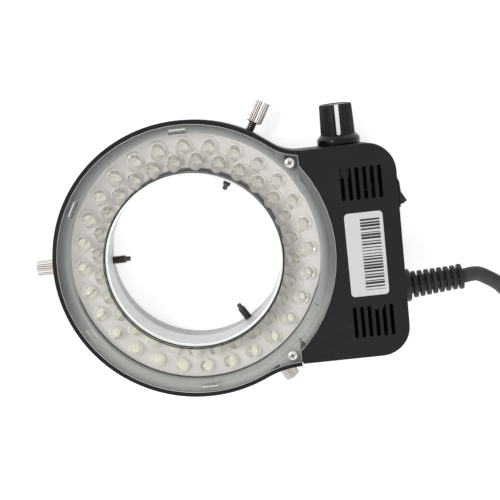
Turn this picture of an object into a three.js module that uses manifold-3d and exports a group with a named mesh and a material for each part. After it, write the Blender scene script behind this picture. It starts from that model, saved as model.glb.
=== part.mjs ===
// Microscope ring light: ring and control box in one housing, two rows of LEDs under a clear cover,
// a clamping collar with three thumb screws, dimmer, rocker switch, mains supply, cord and plug.
// Millimetres, +Z towards the lit side. The rear face rests on z = 0, and the light lies on its back.
import * as THREE from 'three';
import { mergeVertices } from 'three/addons/utils/BufferGeometryUtils.js';
import Module from 'manifold-3d';

const wasm = await Module();
wasm.setup();

// Fits and facets that every piece uses
const seatGap = 0.3;
const runningGap = 0.2;
const cutOverrun = 1;
const fullTurn = 2 * Math.PI;
const quarterTurn = Math.PI / 2;
const ringFacets = 54;
const collarFacets = 36;
const shaftFacets = 12;
const canFacets = 20;
const knobFacets = 32;
const nutSides = 6;
const leadSides = 6;
const leadSteps = 16;
const switchLeadSteps = 12;
const cordSides = 10;
const cordSteps = 16;
const cornerSteps = 3;
const frameCornerSteps = 2;
const labelCornerSteps = 4;
const rockerFaceSteps = 12;
const screwFacets = 8;
const mergeTolerance = 1e-5;

// Ring housing
const ringOuterRadius = 53.5;
const bodyDepth = 28;
const floorThickness = 2;
const rimWall = 1.32;
const ringWall = 3.3;
const rearEdgeRadius = 2.5;
const ringDraftShare = 0.07;
const boxSideDraftShare = 0.031;
const rearEdgeShares = [[0, 1], [0.293, 0.293], [1, 0]];

// Control box, in line with the ring on its right
const boxBeyondRing = 25.23;
const boxTopInset = 16.1;
const boxBottomInset = 9.13;
const boxRimStep = 0.85;
const boxCornerRadius = 11;
const boxWall = 1.8;
const topFilletRadius = 17;
const bottomFilletRadius = 31.8;
const partitionWall = 2.5;
const leadNotchWidth = 6;
const leadNotchHeight = 6;

// Box cover
const lidThickness = 2;
const lidArcMargin = 0.55;
const slotWidth = 1.45;
const slotLength = 12.3;
const slotPitch = 2.78;
const slotCount = 6;
const slotFirstInset = 20.23;
const slotTopInset = 8.35;
const slotBottomInset = 7.93;

// Clear cover and the screws in its two ears
const coverThickness = 1.6;
const coverBoreGap = 0.55;
const earPocketDepth = 3.8;
const topScrewMargin = 1.5;
const bottomScrewMargin = 1.2;
const earScrewInset = 4;
const seamFromScrew = 3.67;
const snapTabWidth = 6.5;
const snapTabDepth = 2.6;
const snapTabThickness = 1.7;
const snapTabMargin = 3;
const snapTabCount = 6;
const coverScrewHeadRadius = 2;
const coverScrewHeadHeight = 1.3;
const coverScrewDomeShare = 0.6;
const coverScrewFlatShare = 0.7;
const coverScrewRadius = 1;
const coverScrewLength = 8;
const recessWidth = 0.5;
const recessLength = 2.2;
const recessDepth = 0.8;

// LED field
const ledTilt = THREE.MathUtils.degToRad(18);
const ledRadius = 2.5;
const ledShoulderHeight = 6.1;
const ledHeight = 8.6;
const ledDomeShares = [0.72, 0.68];
const ledFacets = 7;
const ledsPerRow = 28;
const outerRowInset = 3.9;
const rowSpacing = 5.7;
const ledCoverGap = 0.206;
const rowPhase = THREE.MathUtils.degToRad(-1.1);
const solderStripWidth = 1.2;
const solderStripThickness = 0.5;
const solderStripRise = 0.2;

// LED carrier and outer trim
const carrierThickness = 1.6;
const trimZoneWidth = 5.5;
const carrierLipThickness = 0.8;
const carrierLipRise = 1.8;
const carrierPostRadius = 1.6;
const carrierPostInset = 1.8;
const carrierPostCount = 6;
const trimDepth = 5;
const trimSkirtDepth = 3.5;
const trimSkirtThickness = 0.8;
const trimPlateThickness = 1.4;
const trimFall = 0.4;
const trimFlapLap = 1.3;

// Collar
const collarLedGap = 0.387;
const collarLipWall = 0.85;
const collarLipDepth = 2;
const collarNeckDrop = 1.39;
const collarNeckWall = 0.45;
const collarStepDepth = 14.8;
const collarTaper = 0.2;
const collarStep = 0.6;
const collarRearFlare = 1.6;
const collarRearRise = 1.5;
const collarBossWall = 2.8;
const collarSpigotStep = 0.8;
const collarFlangeWidth = 4.4;
const collarFlangeThickness = 2;
const collarChamfer = 0.45;
const collarBossGap = 0.4;
const collarScrewCount = 3;
const collarScrewRadius = 0.9;
const collarScrewHeadRadius = 1.8;
const collarScrewHeadHeight = 1.1;
const collarScrewSink = 0.1;

// Thumb screws
const thumbScrewCount = 3;
const thumbScrewPhase = THREE.MathUtils.degToRad(60);
const thumbScrewHeight = 7.3;
const thumbScrewReach = 5.9;
const thumbScrewDogLength = 1.8;
const thumbScrewDogRadius = 0.85;
const thumbScrewRadius = 1.5;
const thumbHeadStand = 2;
const thumbHeadLength = 9.3;
const thumbHeadRadius = 2.9;
const thumbHeadSocket = 5;
const thumbHeadChamfer = 0.5;
const knurlCount = 16;
const knurlDepth = 0.22;

// Box screws, from the rear into the posts of the box cover
const boxScrewRadius = 0.8;
const boxScrewHeadRadius = 2;
const boxScrewHeadHeight = 1.4;
const boxScrewSink = 0.3;
const boxScrewLength = 10;
const boxPostRadius = 1.9;
const boxBossRadius = 3.2;
const boxBossHeight = 2.5;
const postWallGap = 0.35;
const leftPostDrop = 0.4;
const rightPostRunShare = 0.33;

// Dimmer
const dimmerWallGap = 1.32;
const dimmerBodyMaxRadius = 7.6;
const dimmerBodyLength = 8.8;
const dimmerBushingRadius = 4;
const dimmerBushingLength = 4.9;
const dimmerShaftRadius = 3;
const dimmerNutRadius = 5.6;
const dimmerNutThickness = 1.9;
const knobStand = 0.25;
const knobSkirtRadius = 8.15;
const knobSkirtHeight = 2.55;
const knobShoulderHeight = 1.55;
const knobCapBaseRadius = 6.55;
const knobCapTopRadius = 6.15;
const knobCapHeight = 11.3;
const knobTopThickness = 1.7;
const knobRecessRadius = 6.4;
const fluteCount = 26;
const fluteDepth = 0.3;
const pointerWidth = 1.5;
const pointerDepth = 1.1;

// Rocker switch
const rockerHeight = 14;
const rockerFromTop = 21.3;
const bezelLength = 10.7;
const bezelWidth = 11;
const bezelThickness = 1.4;
const bezelCorner = 0.6;
const rockerRadius = 4.6;
const rockerWidth = 8;
const rockerPivotRise = 0.75;
const rockerRestTilt = THREE.MathUtils.degToRad(17);
const rockerEndShare = 0.5;
const rockerDish = 0.9;
const rockerDishShares = [0.5, 0, -0.5];
const rockerPinRadius = 0.6;
const rockerPinLength = 0.5;
const switchBodyDepth = 9;
const switchBodyWall = 0.8;
const terminalLength = 4;
const terminalWidth = 2.8;
const terminalThickness = 0.6;

// Strain relief and cord
const cordRadius = 2.9;
const cordHeight = 14;
const reliefFromBottom = 23.07;
const reliefFlangeRadius = 6.35;
const reliefFlangeLength = 3.3;
const reliefNeckRadius = 4.6;
const reliefHeadRadius = 6.2;
const reliefHeadLength = 2;
const reliefLength = 20.4;
const reliefTilt = THREE.MathUtils.degToRad(3.9);
const reliefCoreRadius = 3.7;
const reliefRibRadius = 5.25;
const reliefEndRadius = 4.75;
const reliefRibCount = 8;
const reliefRibShare = 0.56;
const reliefFacets = 10;
const tailLength = 10;
const clampWidth = 5;
const clampWall = 1.6;
const clampFoot = 4;
const clampScrewRadius = 1;
const clampScrewHeadRadius = 1.9;
const clampScrewHeadHeight = 1.3;

// Supply inside the box
const boardLeftGap = 1.56;
const boardThickness = 1.6;
const boardRise = 2.3;
const boardWallGap = 1;
const boardBelowSwitch = 1.47;
const boardSpacing = 0.7;
const transformerLength = 8;
const transformerWidth = 9;
const transformerHeight = 9;
const windingShare = 0.62;
const yokeShare = 0.14;
const capacitorRadius = 2;
const capacitorHeight = 11;
const fuseRadius = 1.6;
const fuseLength = 8;
const regulatorWidth = 5.5;
const regulatorThickness = 2.4;
const regulatorHeight = 8;
const heatSinkThickness = 1;
const heatSinkFinReach = 3;
const heatSinkHeight = 12;
const leadRadius = 0.7;
const leadBend = 4 * leadRadius;

// Label on the box cover
const labelWidth = 14.3;
const labelLength = 32.1;
const labelThickness = 0.15;
const labelCorner = 1.5;
const labelFromRight = 13.73;
const labelFromTop = 41.45;

// Route of the cord between the strain relief and the coil, its points chosen by hand
const cordRoute = [
  [112.6, -22.1, 12.8], [116.4, -25.0, 11.0], [120.0, -29.2, 8.7], [123.0, -34.2, 6.4],
];

// Coil of the cord's further length, its tie and the plug
const coilInnerRadius = 24;
const coilPitch = 6.3;
const coilHalfTurns = 3.1875;
const coilSteps = 20;
const coilSides = 6;
const coilRise = 1.05;
const coilCentre = new THREE.Vector2(172, -22);
const coilStartAngle = THREE.MathUtils.degToRad(225);
const tieThickness = 0.7;
const tieWidth = 5;
const tieAngle = THREE.MathUtils.degToRad(-40);
const plugReliefLength = 20;
const plugReliefRadius = 4.2;
const plugLength = 26;
const plugWidth = 21;
const plugHeight = 16;
const plugCorner = 3;
const plugChamfer = 1;
const pinSpacing = 12.7;
const pinLength = 17;
const pinWidth = 6.3;
const pinThickness = 1.5;

// Places that several pieces share
const boxRightReach = ringOuterRadius + boxBeyondRing;
const boxTopReach = ringOuterRadius - boxTopInset;
const boxBottomReach = ringOuterRadius - boxBottomInset;
const carrierOuterRadius = ringOuterRadius - trimZoneWidth;
const outerRowRadius = carrierOuterRadius - outerRowInset;
const innerRowRadius = outerRowRadius - rowSpacing;
const ledInnerReach = ledShoulderHeight * Math.sin(ledTilt) + ledRadius * Math.cos(ledTilt);
const ledInnerRise = ledShoulderHeight * Math.cos(ledTilt) - ledRadius * Math.sin(ledTilt);
const lipOuterRadius = innerRowRadius - ledInnerReach - collarLedGap;
const collarLipRadius = lipOuterRadius - collarLipWall;
const collarNeckRadius = lipOuterRadius + collarNeckWall;
const collarBossRadius = collarNeckRadius + collarBossWall;
const collarSpigotRadius = collarBossRadius - collarSpigotStep;
const collarFlangeRadius = collarSpigotRadius + collarFlangeWidth;
const coverInnerRadius = lipOuterRadius + coverBoreGap;
const thumbScrewTipRadius = collarLipRadius - thumbScrewReach;
const recessRadius = ringOuterRadius - rimWall;
const outerRowDepth = coverThickness + ledCoverGap + ledHeight * Math.cos(ledTilt)
  + seatGap / Math.cos(ledTilt);
const lidArcRadius = ringOuterRadius + lidArcMargin;
const partitionOuterRadius = ringOuterRadius + partitionWall;
const lidSeatHeight = bodyDepth - lidThickness;
const coverSeatHeight = bodyDepth - coverThickness - seatGap;
const earPocketHeight = bodyDepth - earPocketDepth;
const topScrewPlace = placeOnCircle(ringOuterRadius - topScrewMargin, boxTopReach - earScrewInset);
const bottomScrewPlace = placeOnCircle(ringOuterRadius - bottomScrewMargin, earScrewInset - boxBottomReach);
const seamTopX = topScrewPlace.x + seamFromScrew;
const seamBottomX = bottomScrewPlace.x + seamFromScrew;
const thumbHeadStart = ringOuterRadius + thumbHeadStand;
const innerTop = boxTopReach - ringDraftShare * bodyDepth - boxWall;
const innerBottom = boxBottomReach - ringDraftShare * bodyDepth - boxWall;
const innerRight = boxRightReach - boxSideDraftShare * bodyDepth - boxWall;
const dimmerFaceY = innerTop - seatGap;
const cornerRun = boxCornerRadius - boxWall;
const postReach = boxPostRadius + postWallGap;
const rightPostX = innerRight - cornerRun + (cornerRun - postReach) * rightPostRunShare;
const dimmerLeft = placeOnCircle(partitionOuterRadius + dimmerWallGap, dimmerFaceY - dimmerBodyLength).x;
const dimmerRight = rightPostX - boxPostRadius - seatGap;
const dimmerBodyRadius = Math.min(dimmerBodyMaxRadius, (dimmerRight - dimmerLeft) / 2);
const dimmerX = dimmerLeft + dimmerBodyRadius;
const rockerY = boxTopReach - rockerFromTop;
const reliefY = reliefFromBottom - boxBottomReach;
const clampHalf = cordRadius + seatGap + clampFoot;
const boardStart = reliefY + clampHalf + boardSpacing;
const boardEnd = rockerY - boardBelowSwitch;
const reliefWallX = boxRightAt(cordHeight + reliefFlangeRadius);

function placeOnCircle(radius, y) {
  return new THREE.Vector2(Math.sqrt(radius * radius - y * y), y);
}

// Height of the carrier's lit face at a radius: a cone that rises outwards by the tilt of the LEDs
function carrierFace(radius) {
  return bodyDepth - outerRowDepth + (radius - outerRowRadius) * Math.tan(ledTilt);
}

// Wall face of the box at a height above the rear plane
function boxRightAt(height) {
  return boxRightReach - boxSideDraftShare * (bodyDepth - height);
}

function boxTopAt(height) {
  return boxTopReach - ringDraftShare * (bodyDepth - height);
}

// Geometry with shared corners, no collapsed faces, and its faces pointing out
function closed(geometry) {
  const bare = geometry.clone();
  bare.deleteAttribute('normal');
  bare.deleteAttribute('uv');
  const merged = mergeVertices(bare, mergeTolerance);
  const corners = merged.index.array;
  const faces = [];
  for (let i = 0; i < corners.length; i += 3) {
    const face = [corners[i], corners[i + 1], corners[i + 2]];
    if (new Set(face).size === 3) {
      faces.push(...face);
    }
  }
  merged.setIndex(faces);
  if (signedVolume(merged) < 0) {
    merged.setIndex(flipped(faces));
  }
  return merged;
}

function flipped(faces) {
  const turned = [];
  for (let i = 0; i < faces.length; i += 3) {
    turned.push(faces[i], faces[i + 2], faces[i + 1]);
  }
  return turned;
}

function signedVolume(geometry) {
  const place = geometry.attributes.position;
  const corners = geometry.index.array;
  const point = [new THREE.Vector3(), new THREE.Vector3(), new THREE.Vector3()];
  let sum = 0;
  for (let i = 0; i < corners.length; i += 3) {
    point.forEach((corner, side) => corner.fromBufferAttribute(place, corners[i + side]));
    sum += point[0].dot(point[1].clone().cross(point[2]));
  }
  return sum;
}

function toSolid(geometry) {
  const shape = closed(geometry);
  return new wasm.Manifold(new wasm.Mesh({
    numProp: 3,
    vertProperties: new Float32Array(shape.attributes.position.array),
    triVerts: new Uint32Array(shape.index.array),
  }));
}

function fromSolid(solid) {
  const mesh = solid.getMesh();
  const geometry = new THREE.BufferGeometry();
  const stride = mesh.numProp;
  const count = mesh.vertProperties.length / stride;
  const positions = new Float32Array(count * 3);
  for (let i = 0; i < count; i += 1) {
    positions.set(mesh.vertProperties.subarray(i * stride, i * stride + 3), i * 3);
  }
  geometry.setAttribute('position', new THREE.BufferAttribute(positions, 3));
  geometry.setIndex(Array.from(mesh.triVerts));
  return geometry;
}

function joined(first, ...others) {
  return others.reduce((whole, piece) => whole.add(piece), first);
}

function cutBy(first, ...cutters) {
  return cutters.reduce((rest, cutter) => rest.subtract(cutter), first);
}

// Solid of revolution about Z from pairs of radius and height; the outline closes on itself
function turned(pairs, facets = ringFacets) {
  const points = pairs.map(([radius, height]) => new THREE.Vector2(radius, height));
  points.push(points[0].clone());
  const geometry = new THREE.LatheGeometry(points, facets);
  geometry.rotateX(quarterTurn);
  return geometry;
}

function rod(radius, low, high, facets = shaftFacets) {
  return turned([[0, low], [radius, low], [radius, high], [0, high]], facets);
}

function block(lowCorner, highCorner) {
  const size = highCorner.map((value, axis) => value - lowCorner[axis]);
  const middle = highCorner.map((value, axis) => (value + lowCorner[axis]) / 2);
  return new THREE.BoxGeometry(...size).translate(...middle);
}

function prism(shape, low, high, curveSegments = 6) {
  return new THREE.ExtrudeGeometry(shape, { depth: high - low, bevelEnabled: false, curveSegments })
    .translate(0, 0, low);
}

function arcPoints(centreX, centreY, radius, from, to, steps) {
  return Array.from({ length: steps + 1 }, (_, step) => {
    const angle = from + ((to - from) * step) / steps;
    return new THREE.Vector2(centreX + radius * Math.cos(angle), centreY + radius * Math.sin(angle));
  });
}

// Closed skin through outlines of equal count at rising heights
function loft(outlines, heights) {
  const count = outlines[0].length;
  const positions = outlines.flatMap((outline, level) => outline.flatMap((p) => [p.x, p.y, heights[level]]));
  const faces = [];
  for (let level = 0; level + 1 < outlines.length; level += 1) {
    for (let i = 0; i < count; i += 1) {
      const near = level * count + i;
      const next = level * count + ((i + 1) % count);
      faces.push(near, next, next + count, near, next + count, near + count);
    }
  }
  const last = (outlines.length - 1) * count;
  THREE.ShapeUtils.triangulateShape(outlines[0], []).forEach(([a, b, c]) => faces.push(c, b, a));
  THREE.ShapeUtils.triangulateShape(outlines[outlines.length - 1], [])
    .forEach(([a, b, c]) => faces.push(last + a, last + b, last + c));
  const geometry = new THREE.BufferGeometry();
  geometry.setAttribute('position', new THREE.Float32BufferAttribute(positions, 3));
  geometry.setIndex(faces);
  return geometry;
}

// Tube along a curve with plane ends
function tube(curve, radius, steps, sides) {
  const section = new THREE.Shape(arcPoints(0, 0, radius, 0, fullTurn, sides).slice(0, sides));
  return new THREE.ExtrudeGeometry(section, { steps, extrudePath: curve, bevelEnabled: false });
}

function material(color, roughness, metalness = 0) {
  return new THREE.MeshStandardMaterial({ color, roughness, metalness });
}

const blackPlastic = material(0x2a2a2b, 0.55);
const clearPlastic = material(0xd8dad6, 0.12);
const ledResin = material(0xe6e6de, 0.15);
const carrierWhite = material(0xc9c4c2, 0.6);
const trimGrey = material(0x8b8e8e, 0.5);
const aluminium = material(0xc4c6c8, 0.28, 1);
const nickel = material(0xb9b4ac, 0.3, 1);
const darkSteel = material(0x3a3431, 0.4, 1);
const zincSteel = material(0xd0cfca, 0.3, 1);
const labelPaper = material(0xdcdfe0, 0.5);
const whiteInlay = material(0xf2f2f0, 0.4);
const cordBlack = material(0x4a4a4b, 0.6);
const brass = material(0xc9a85a, 0.3, 1);
const boardGreen = material(0x2c6b3f, 0.5);
const copperTape = material(0xc8a040, 0.5);
const capacitorBlue = material(0x27354f, 0.4);
const leadRed = material(0xa3282a, 0.5);

function piece(name, geometry, finish) {
  const mesh = new THREE.Mesh(geometry, finish);
  mesh.name = name;
  return mesh;
}

// Outline of ring and box from the front, drawn in by an inset, at a depth below the face.
// The rim ends in a step up to the box's bottom edge, which the pieces inside the rim don't have.
function bodyOutline(inset, depth, step) {
  const drawn = inset + ringDraftShare * depth;
  const ring = ringOuterRadius - drawn;
  const top = boxTopReach - drawn;
  const rimBottom = boxBottomReach + boxRimStep - drawn;
  const bottom = rimBottom - step;
  const right = boxRightReach - inset - boxSideDraftShare * depth;
  const corner = Math.max(boxCornerRadius - inset, rimWall);
  const topFillet = topFilletRadius + inset;
  const bottomFillet = bottomFilletRadius + inset;
  const topX = Math.sqrt((ring + topFillet) ** 2 - (top + topFillet) ** 2);
  const bottomX = Math.sqrt((ring + bottomFillet) ** 2 - (rimBottom + bottomFillet) ** 2);
  const topAngle = Math.atan2(top + topFillet, topX);
  const bottomAngle = Math.atan2(rimBottom + bottomFillet, bottomX);
  return [
    ...arcPoints(right - corner, top - corner, corner, 0, quarterTurn, 5),
    ...arcPoints(topX, top + topFillet, topFillet, 3 * quarterTurn, Math.PI + topAngle, 6).slice(0, -1),
    ...arcPoints(0, 0, ring, topAngle, fullTurn - bottomAngle, 34),
    ...arcPoints(bottomX, -rimBottom - bottomFillet, bottomFillet, Math.PI - bottomAngle, quarterTurn, 5)
      .slice(1),
    ...(step ? [new THREE.Vector2(bottomX, -bottom)] : []),
    ...arcPoints(right - corner, corner - bottom, corner, -quarterTurn, 0, 5),
  ];
}

function bodyPrism(inset, low, high, depth = 0) {
  const outline = bodyOutline(inset, depth, boxRimStep);
  return toSolid(loft([outline, outline], [low, high]));
}

function rimPrism(inset, low, high) {
  const outline = bodyOutline(inset, 0, 0);
  return toSolid(loft([outline, outline], [low, high]));
}

// Space on the ring's side of the seams between clear cover and box cover, moved by a shift
function ringSideHalves(shift) {
  const reach = ringOuterRadius * 2;
  return joined(
    toSolid(block([-reach, 0, -cutOverrun], [seamTopX + shift, reach, bodyDepth + 2 * cutOverrun])),
    toSolid(block([-reach, -reach, -cutOverrun], [seamBottomX + shift, 0, bodyDepth + 2 * cutOverrun])),
  );
}

function ringSide(shift) {
  const disc = rod(lidArcRadius + shift, -cutOverrun, bodyDepth + 2 * cutOverrun, ringFacets);
  return joined(ringSideHalves(shift), toSolid(disc));
}

// Corner posts of the box cover: two beside the partition, two in the corners on the right
function postPlaces() {
  const partition = partitionOuterRadius + postReach;
  return [
    placeOnCircle(partition, innerTop - postReach),
    placeOnCircle(partition, postReach + leftPostDrop - innerBottom),
    new THREE.Vector2(rightPostX, innerTop - postReach - postWallGap),
    new THREE.Vector2(rightPostX, postReach + postWallGap - innerBottom),
  ];
}

function carrierPostAngles() {
  return Array.from({ length: carrierPostCount }, (_, i) => ((i + 0.5) * fullTurn) / carrierPostCount);
}

function around(count, phase = 0) {
  return Array.from({ length: count }, (_, i) => phase + (i * fullTurn) / count);
}

function movedTo(geometry, x, y, z = 0) {
  return toSolid(geometry.translate(x, y, z));
}

// Rod along +X at an angle about the ring's axis
function radialRod(radius, from, to, angle) {
  return toSolid(rod(radius, from, to).rotateY(quarterTurn).rotateZ(angle).translate(0, 0, thumbScrewHeight));
}

const boardLow = floorThickness + boardRise + seatGap;
const boardTop = boardLow + boardThickness;
const boardRight = innerRight - boardWallGap;
const boardLeft = partitionOuterRadius + boardLeftGap;
const boardPostRadius = 1.8;
const clampX = innerRight - reliefHeadLength - 2 * seatGap - tailLength / 2;
const clampTop = cordHeight + cordRadius + seatGap + clampWall;

function clampPostPlaces() {
  const run = cordRadius + seatGap + clampFoot / 2;
  return [-run, run].map((offset) => new THREE.Vector2(clampX, reliefY + offset));
}

function boardPostPlaces() {
  return [boardStart + boardPostRadius, boardEnd - boardPostRadius]
    .map((y) => new THREE.Vector2((boardLeft + boardRight) / 2, y));
}

// Rear housing: ring tray and box tray in one moulding
function rearHousing() {
  const skin = rearEdgeShares.map(([rise, inset]) => [rearEdgeRadius * rise, rearEdgeRadius * inset]);
  skin.push([bodyDepth, 0]);
  const outer = loft(
    skin.map(([height, inset]) => bodyOutline(inset, bodyDepth - height, boxRimStep)),
    skin.map(([height]) => height),
  );
  const top = bodyDepth + cutOverrun;
  const ledge = bodyDepth - trimDepth - trimFall - trimPlateThickness - seatGap;
  const ringCavity = toSolid(rod(ringOuterRadius - ringWall, floorThickness, ledge, ringFacets));
  const trimCavity = toSolid(rod(recessRadius, ledge, top, ringFacets));
  const coverRecess = rimPrism(rimWall, coverSeatHeight, top).intersect(ringSide(0));
  const earPockets = rimPrism(rimWall, earPocketHeight, top).intersect(ringSideHalves(0));
  const lidRecess = bodyPrism(-cutOverrun, lidSeatHeight, top).subtract(ringSide(-seatGap));
  const boxCavity = bodyPrism(boxWall, floorThickness, top, bodyDepth)
    .subtract(toSolid(rod(partitionOuterRadius, 0, top + cutOverrun, ringFacets)));
  const tray = cutBy(
    toSolid(outer), ringCavity, trimCavity, coverRecess, earPockets, lidRecess, boxCavity,
  );
  return fromSolid(cutBy(joined(tray, ...housingBosses()), ...housingHoles()));
}

function housingBosses() {
  const postTop = carrierFace(carrierOuterRadius - carrierPostInset - carrierPostRadius)
    - carrierThickness / Math.cos(ledTilt) - seatGap;
  const carrierPosts = carrierPostAngles().map((angle) => {
    const reach = carrierOuterRadius - carrierPostInset;
    const post = rod(carrierPostRadius, floorThickness - seatGap, postTop, screwFacets);
    return movedTo(post, reach * Math.cos(angle), reach * Math.sin(angle));
  });
  const screwBosses = postPlaces().map((place) => movedTo(
    rod(boxBossRadius, floorThickness - seatGap, floorThickness + boxBossHeight), place.x, place.y,
  ).intersect(bodyPrism(boxWall / 2, 0, bodyDepth, bodyDepth)));
  const boardPosts = boardPostPlaces().map((place) => movedTo(
    rod(boardPostRadius, floorThickness - seatGap, boardLow - seatGap, screwFacets), place.x, place.y,
  ));
  const clampPosts = clampPostPlaces().map((place) => movedTo(
    rod(clampFoot / 2, floorThickness - seatGap, clampTop - clampWall - seatGap, screwFacets),
    place.x,
    place.y,
  ));
  return [...carrierPosts, ...screwBosses, ...boardPosts, ...clampPosts];
}

function housingHoles() {
  const floorTop = floorThickness + cutOverrun;
  const bore = toSolid(rod(collarSpigotRadius + seatGap, -cutOverrun, floorTop, ringFacets));
  const collarHoles = collarScrewPlaces().map((place) => movedTo(collarScrewHole(), place.x, place.y));
  const boxHoles = postPlaces().flatMap((place) => [
    movedTo(rod(boxScrewRadius + seatGap, -cutOverrun, floorTop + boxBossHeight), place.x, place.y),
    movedTo(
      rod(boxScrewHeadRadius + seatGap, -cutOverrun, boxScrewSink + boxScrewHeadHeight + seatGap),
      place.x,
      place.y,
    ),
  ]);
  const thumbHoles = around(thumbScrewCount, thumbScrewPhase).map((angle) => radialRod(
    thumbScrewRadius + seatGap, ringOuterRadius - 2 * ringWall, ringOuterRadius + ringWall, angle,
  ));
  const coverHoles = [topScrewPlace, bottomScrewPlace].map((place) => movedTo(
    rod(coverScrewRadius + seatGap, bodyDepth - coverScrewLength - seatGap, bodyDepth), place.x, place.y,
  ));
  const clampHoles = clampPostPlaces().map((place) => movedTo(
    rod(clampScrewRadius + seatGap, cordHeight, clampTop, screwFacets), place.x, place.y,
  ));
  const notchY = (boardStart + boardEnd) / 2;
  const leadNotch = toSolid(block(
    [ringOuterRadius - 2 * ringWall, notchY - leadNotchWidth / 2, floorThickness],
    [partitionOuterRadius + cutOverrun, notchY + leadNotchWidth / 2, floorThickness + leadNotchHeight],
  ));
  const wallRun = boxWall + ringDraftShare * bodyDepth + cutOverrun;
  const dimmerHole = toSolid(rod(dimmerBushingRadius + seatGap, -wallRun, wallRun)
    .rotateX(-quarterTurn)
    .translate(dimmerX, innerTop + boxWall / 2, cordHeight));
  const knobSpotFace = toSolid(rod(knobSkirtRadius + seatGap, 0, wallRun, shaftFacets * 2)
    .rotateX(-quarterTurn)
    .translate(dimmerX, boxTopAt(cordHeight), cordHeight));
  const switchHole = toSolid(block(
    [innerRight - cutOverrun, rockerY - switchBodyHalfLength() - seatGap,
      rockerHeight - switchBodyHalfWidth() - seatGap],
    [boxRightReach + cutOverrun, rockerY + switchBodyHalfLength() + seatGap,
      rockerHeight + switchBodyHalfWidth() + seatGap],
  ));
  const reliefHole = toSolid(rod(
    reliefNeckRadius + seatGap, innerRight - cutOverrun, boxRightReach + cutOverrun,
  )
    .rotateY(quarterTurn)
    .translate(0, reliefY, cordHeight));
  return [
    bore, ...collarHoles, ...boxHoles, ...thumbHoles, ...coverHoles, ...clampHoles,
    leadNotch, dimmerHole, knobSpotFace, switchHole, reliefHole,
  ];
}

// Box cover: flat lid with vent slots, and a hollow post over each box screw
function boxCover() {
  const plate = bodyPrism(0, lidSeatHeight, bodyDepth).subtract(ringSide(0));
  const postLow = floorThickness + boxBossHeight + seatGap;
  const posts = postPlaces().map((place) => movedTo(
    rod(boxPostRadius, postLow, lidSeatHeight + seatGap), place.x, place.y,
  ));
  const pilots = postPlaces().map((place) => movedTo(
    rod(boxScrewRadius + seatGap, 0, boxScrewSink + boxScrewLength + seatGap, screwFacets), place.x, place.y,
  ));
  const slots = slotPlaces().map((place) => movedTo(
    prism(slotShape(), lidSeatHeight - cutOverrun, bodyDepth + cutOverrun, cornerSteps), place.x, place.y,
  ));
  return fromSolid(cutBy(joined(plate, ...posts), ...pilots, ...slots));
}

function slotShape() {
  const half = (slotLength - slotWidth) / 2;
  const radius = slotWidth / 2;
  const shape = new THREE.Shape();
  shape.moveTo(radius, -half);
  shape.lineTo(radius, half);
  shape.absarc(0, half, radius, 0, Math.PI);
  shape.lineTo(-radius, -half);
  shape.absarc(0, -half, radius, Math.PI, fullTurn);
  return shape;
}

function slotPlaces() {
  const middles = [
    boxTopReach - slotTopInset - slotLength / 2,
    slotBottomInset + slotLength / 2 - boxBottomReach,
  ];
  return middles.flatMap((y) => Array.from({ length: slotCount }, (_, i) => new THREE.Vector2(
    boxRightReach - slotFirstInset + i * slotPitch,
    y,
  )));
}

function roundedRectangle(width, length, corner) {
  const shape = new THREE.Shape();
  const x = width / 2 - corner;
  const y = length / 2 - corner;
  shape.absarc(x, y, corner, 0, quarterTurn);
  shape.absarc(-x, y, corner, quarterTurn, Math.PI);
  shape.absarc(-x, -y, corner, Math.PI, 3 * quarterTurn);
  shape.absarc(x, -y, corner, 3 * quarterTurn, fullTurn);
  return shape;
}

function label() {
  return prism(roundedRectangle(labelWidth, labelLength, labelCorner), 0, labelThickness, labelCornerSteps);
}

// Clear cover: flat ring with two screw ears and snap tabs under its outer edge
function lensCover() {
  const plate = rimPrism(rimWall + seatGap, bodyDepth - coverThickness, bodyDepth)
    .intersect(ringSide(-seatGap));
  const tabHigh = recessRadius - snapTabMargin + snapTabThickness / 2;
  const tabs = around(snapTabCount, fullTurn / (2 * snapTabCount)).map((angle) => toSolid(block(
    [tabHigh - snapTabThickness, -snapTabWidth / 2, bodyDepth - coverThickness - snapTabDepth],
    [tabHigh, snapTabWidth / 2, bodyDepth - coverThickness / 2],
  ).rotateZ(angle)));
  const bore = toSolid(rod(coverInnerRadius, 0, bodyDepth + cutOverrun, ringFacets));
  const holes = [topScrewPlace, bottomScrewPlace].map((place) => movedTo(
    rod(coverScrewRadius + seatGap, 0, bodyDepth + cutOverrun, screwFacets), place.x, place.y,
  ));
  return fromSolid(cutBy(joined(plate, ...tabs), bore, ...holes));
}

function crossRecess(height) {
  const long = recessLength / 2;
  const thin = recessWidth / 2;
  const low = height - recessDepth;
  return joined(
    toSolid(block([-long, -thin, low], [long, thin, height + cutOverrun])),
    toSolid(block([-thin, -long, low], [thin, long, height + cutOverrun])),
  );
}

// Pan-head screw of the clear cover; its height is counted from the cover's face
function coverScrew() {
  const dome = coverScrewHeadHeight * coverScrewDomeShare;
  const profile = [
    [0, -coverScrewLength], [coverScrewRadius, -coverScrewLength], [coverScrewRadius, 0],
    [coverScrewHeadRadius, 0], [coverScrewHeadRadius, dome],
    [coverScrewHeadRadius * coverScrewFlatShare, coverScrewHeadHeight], [0, coverScrewHeadHeight],
  ];
  return fromSolid(toSolid(turned(profile, shaftFacets)).subtract(crossRecess(coverScrewHeadHeight)));
}

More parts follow.
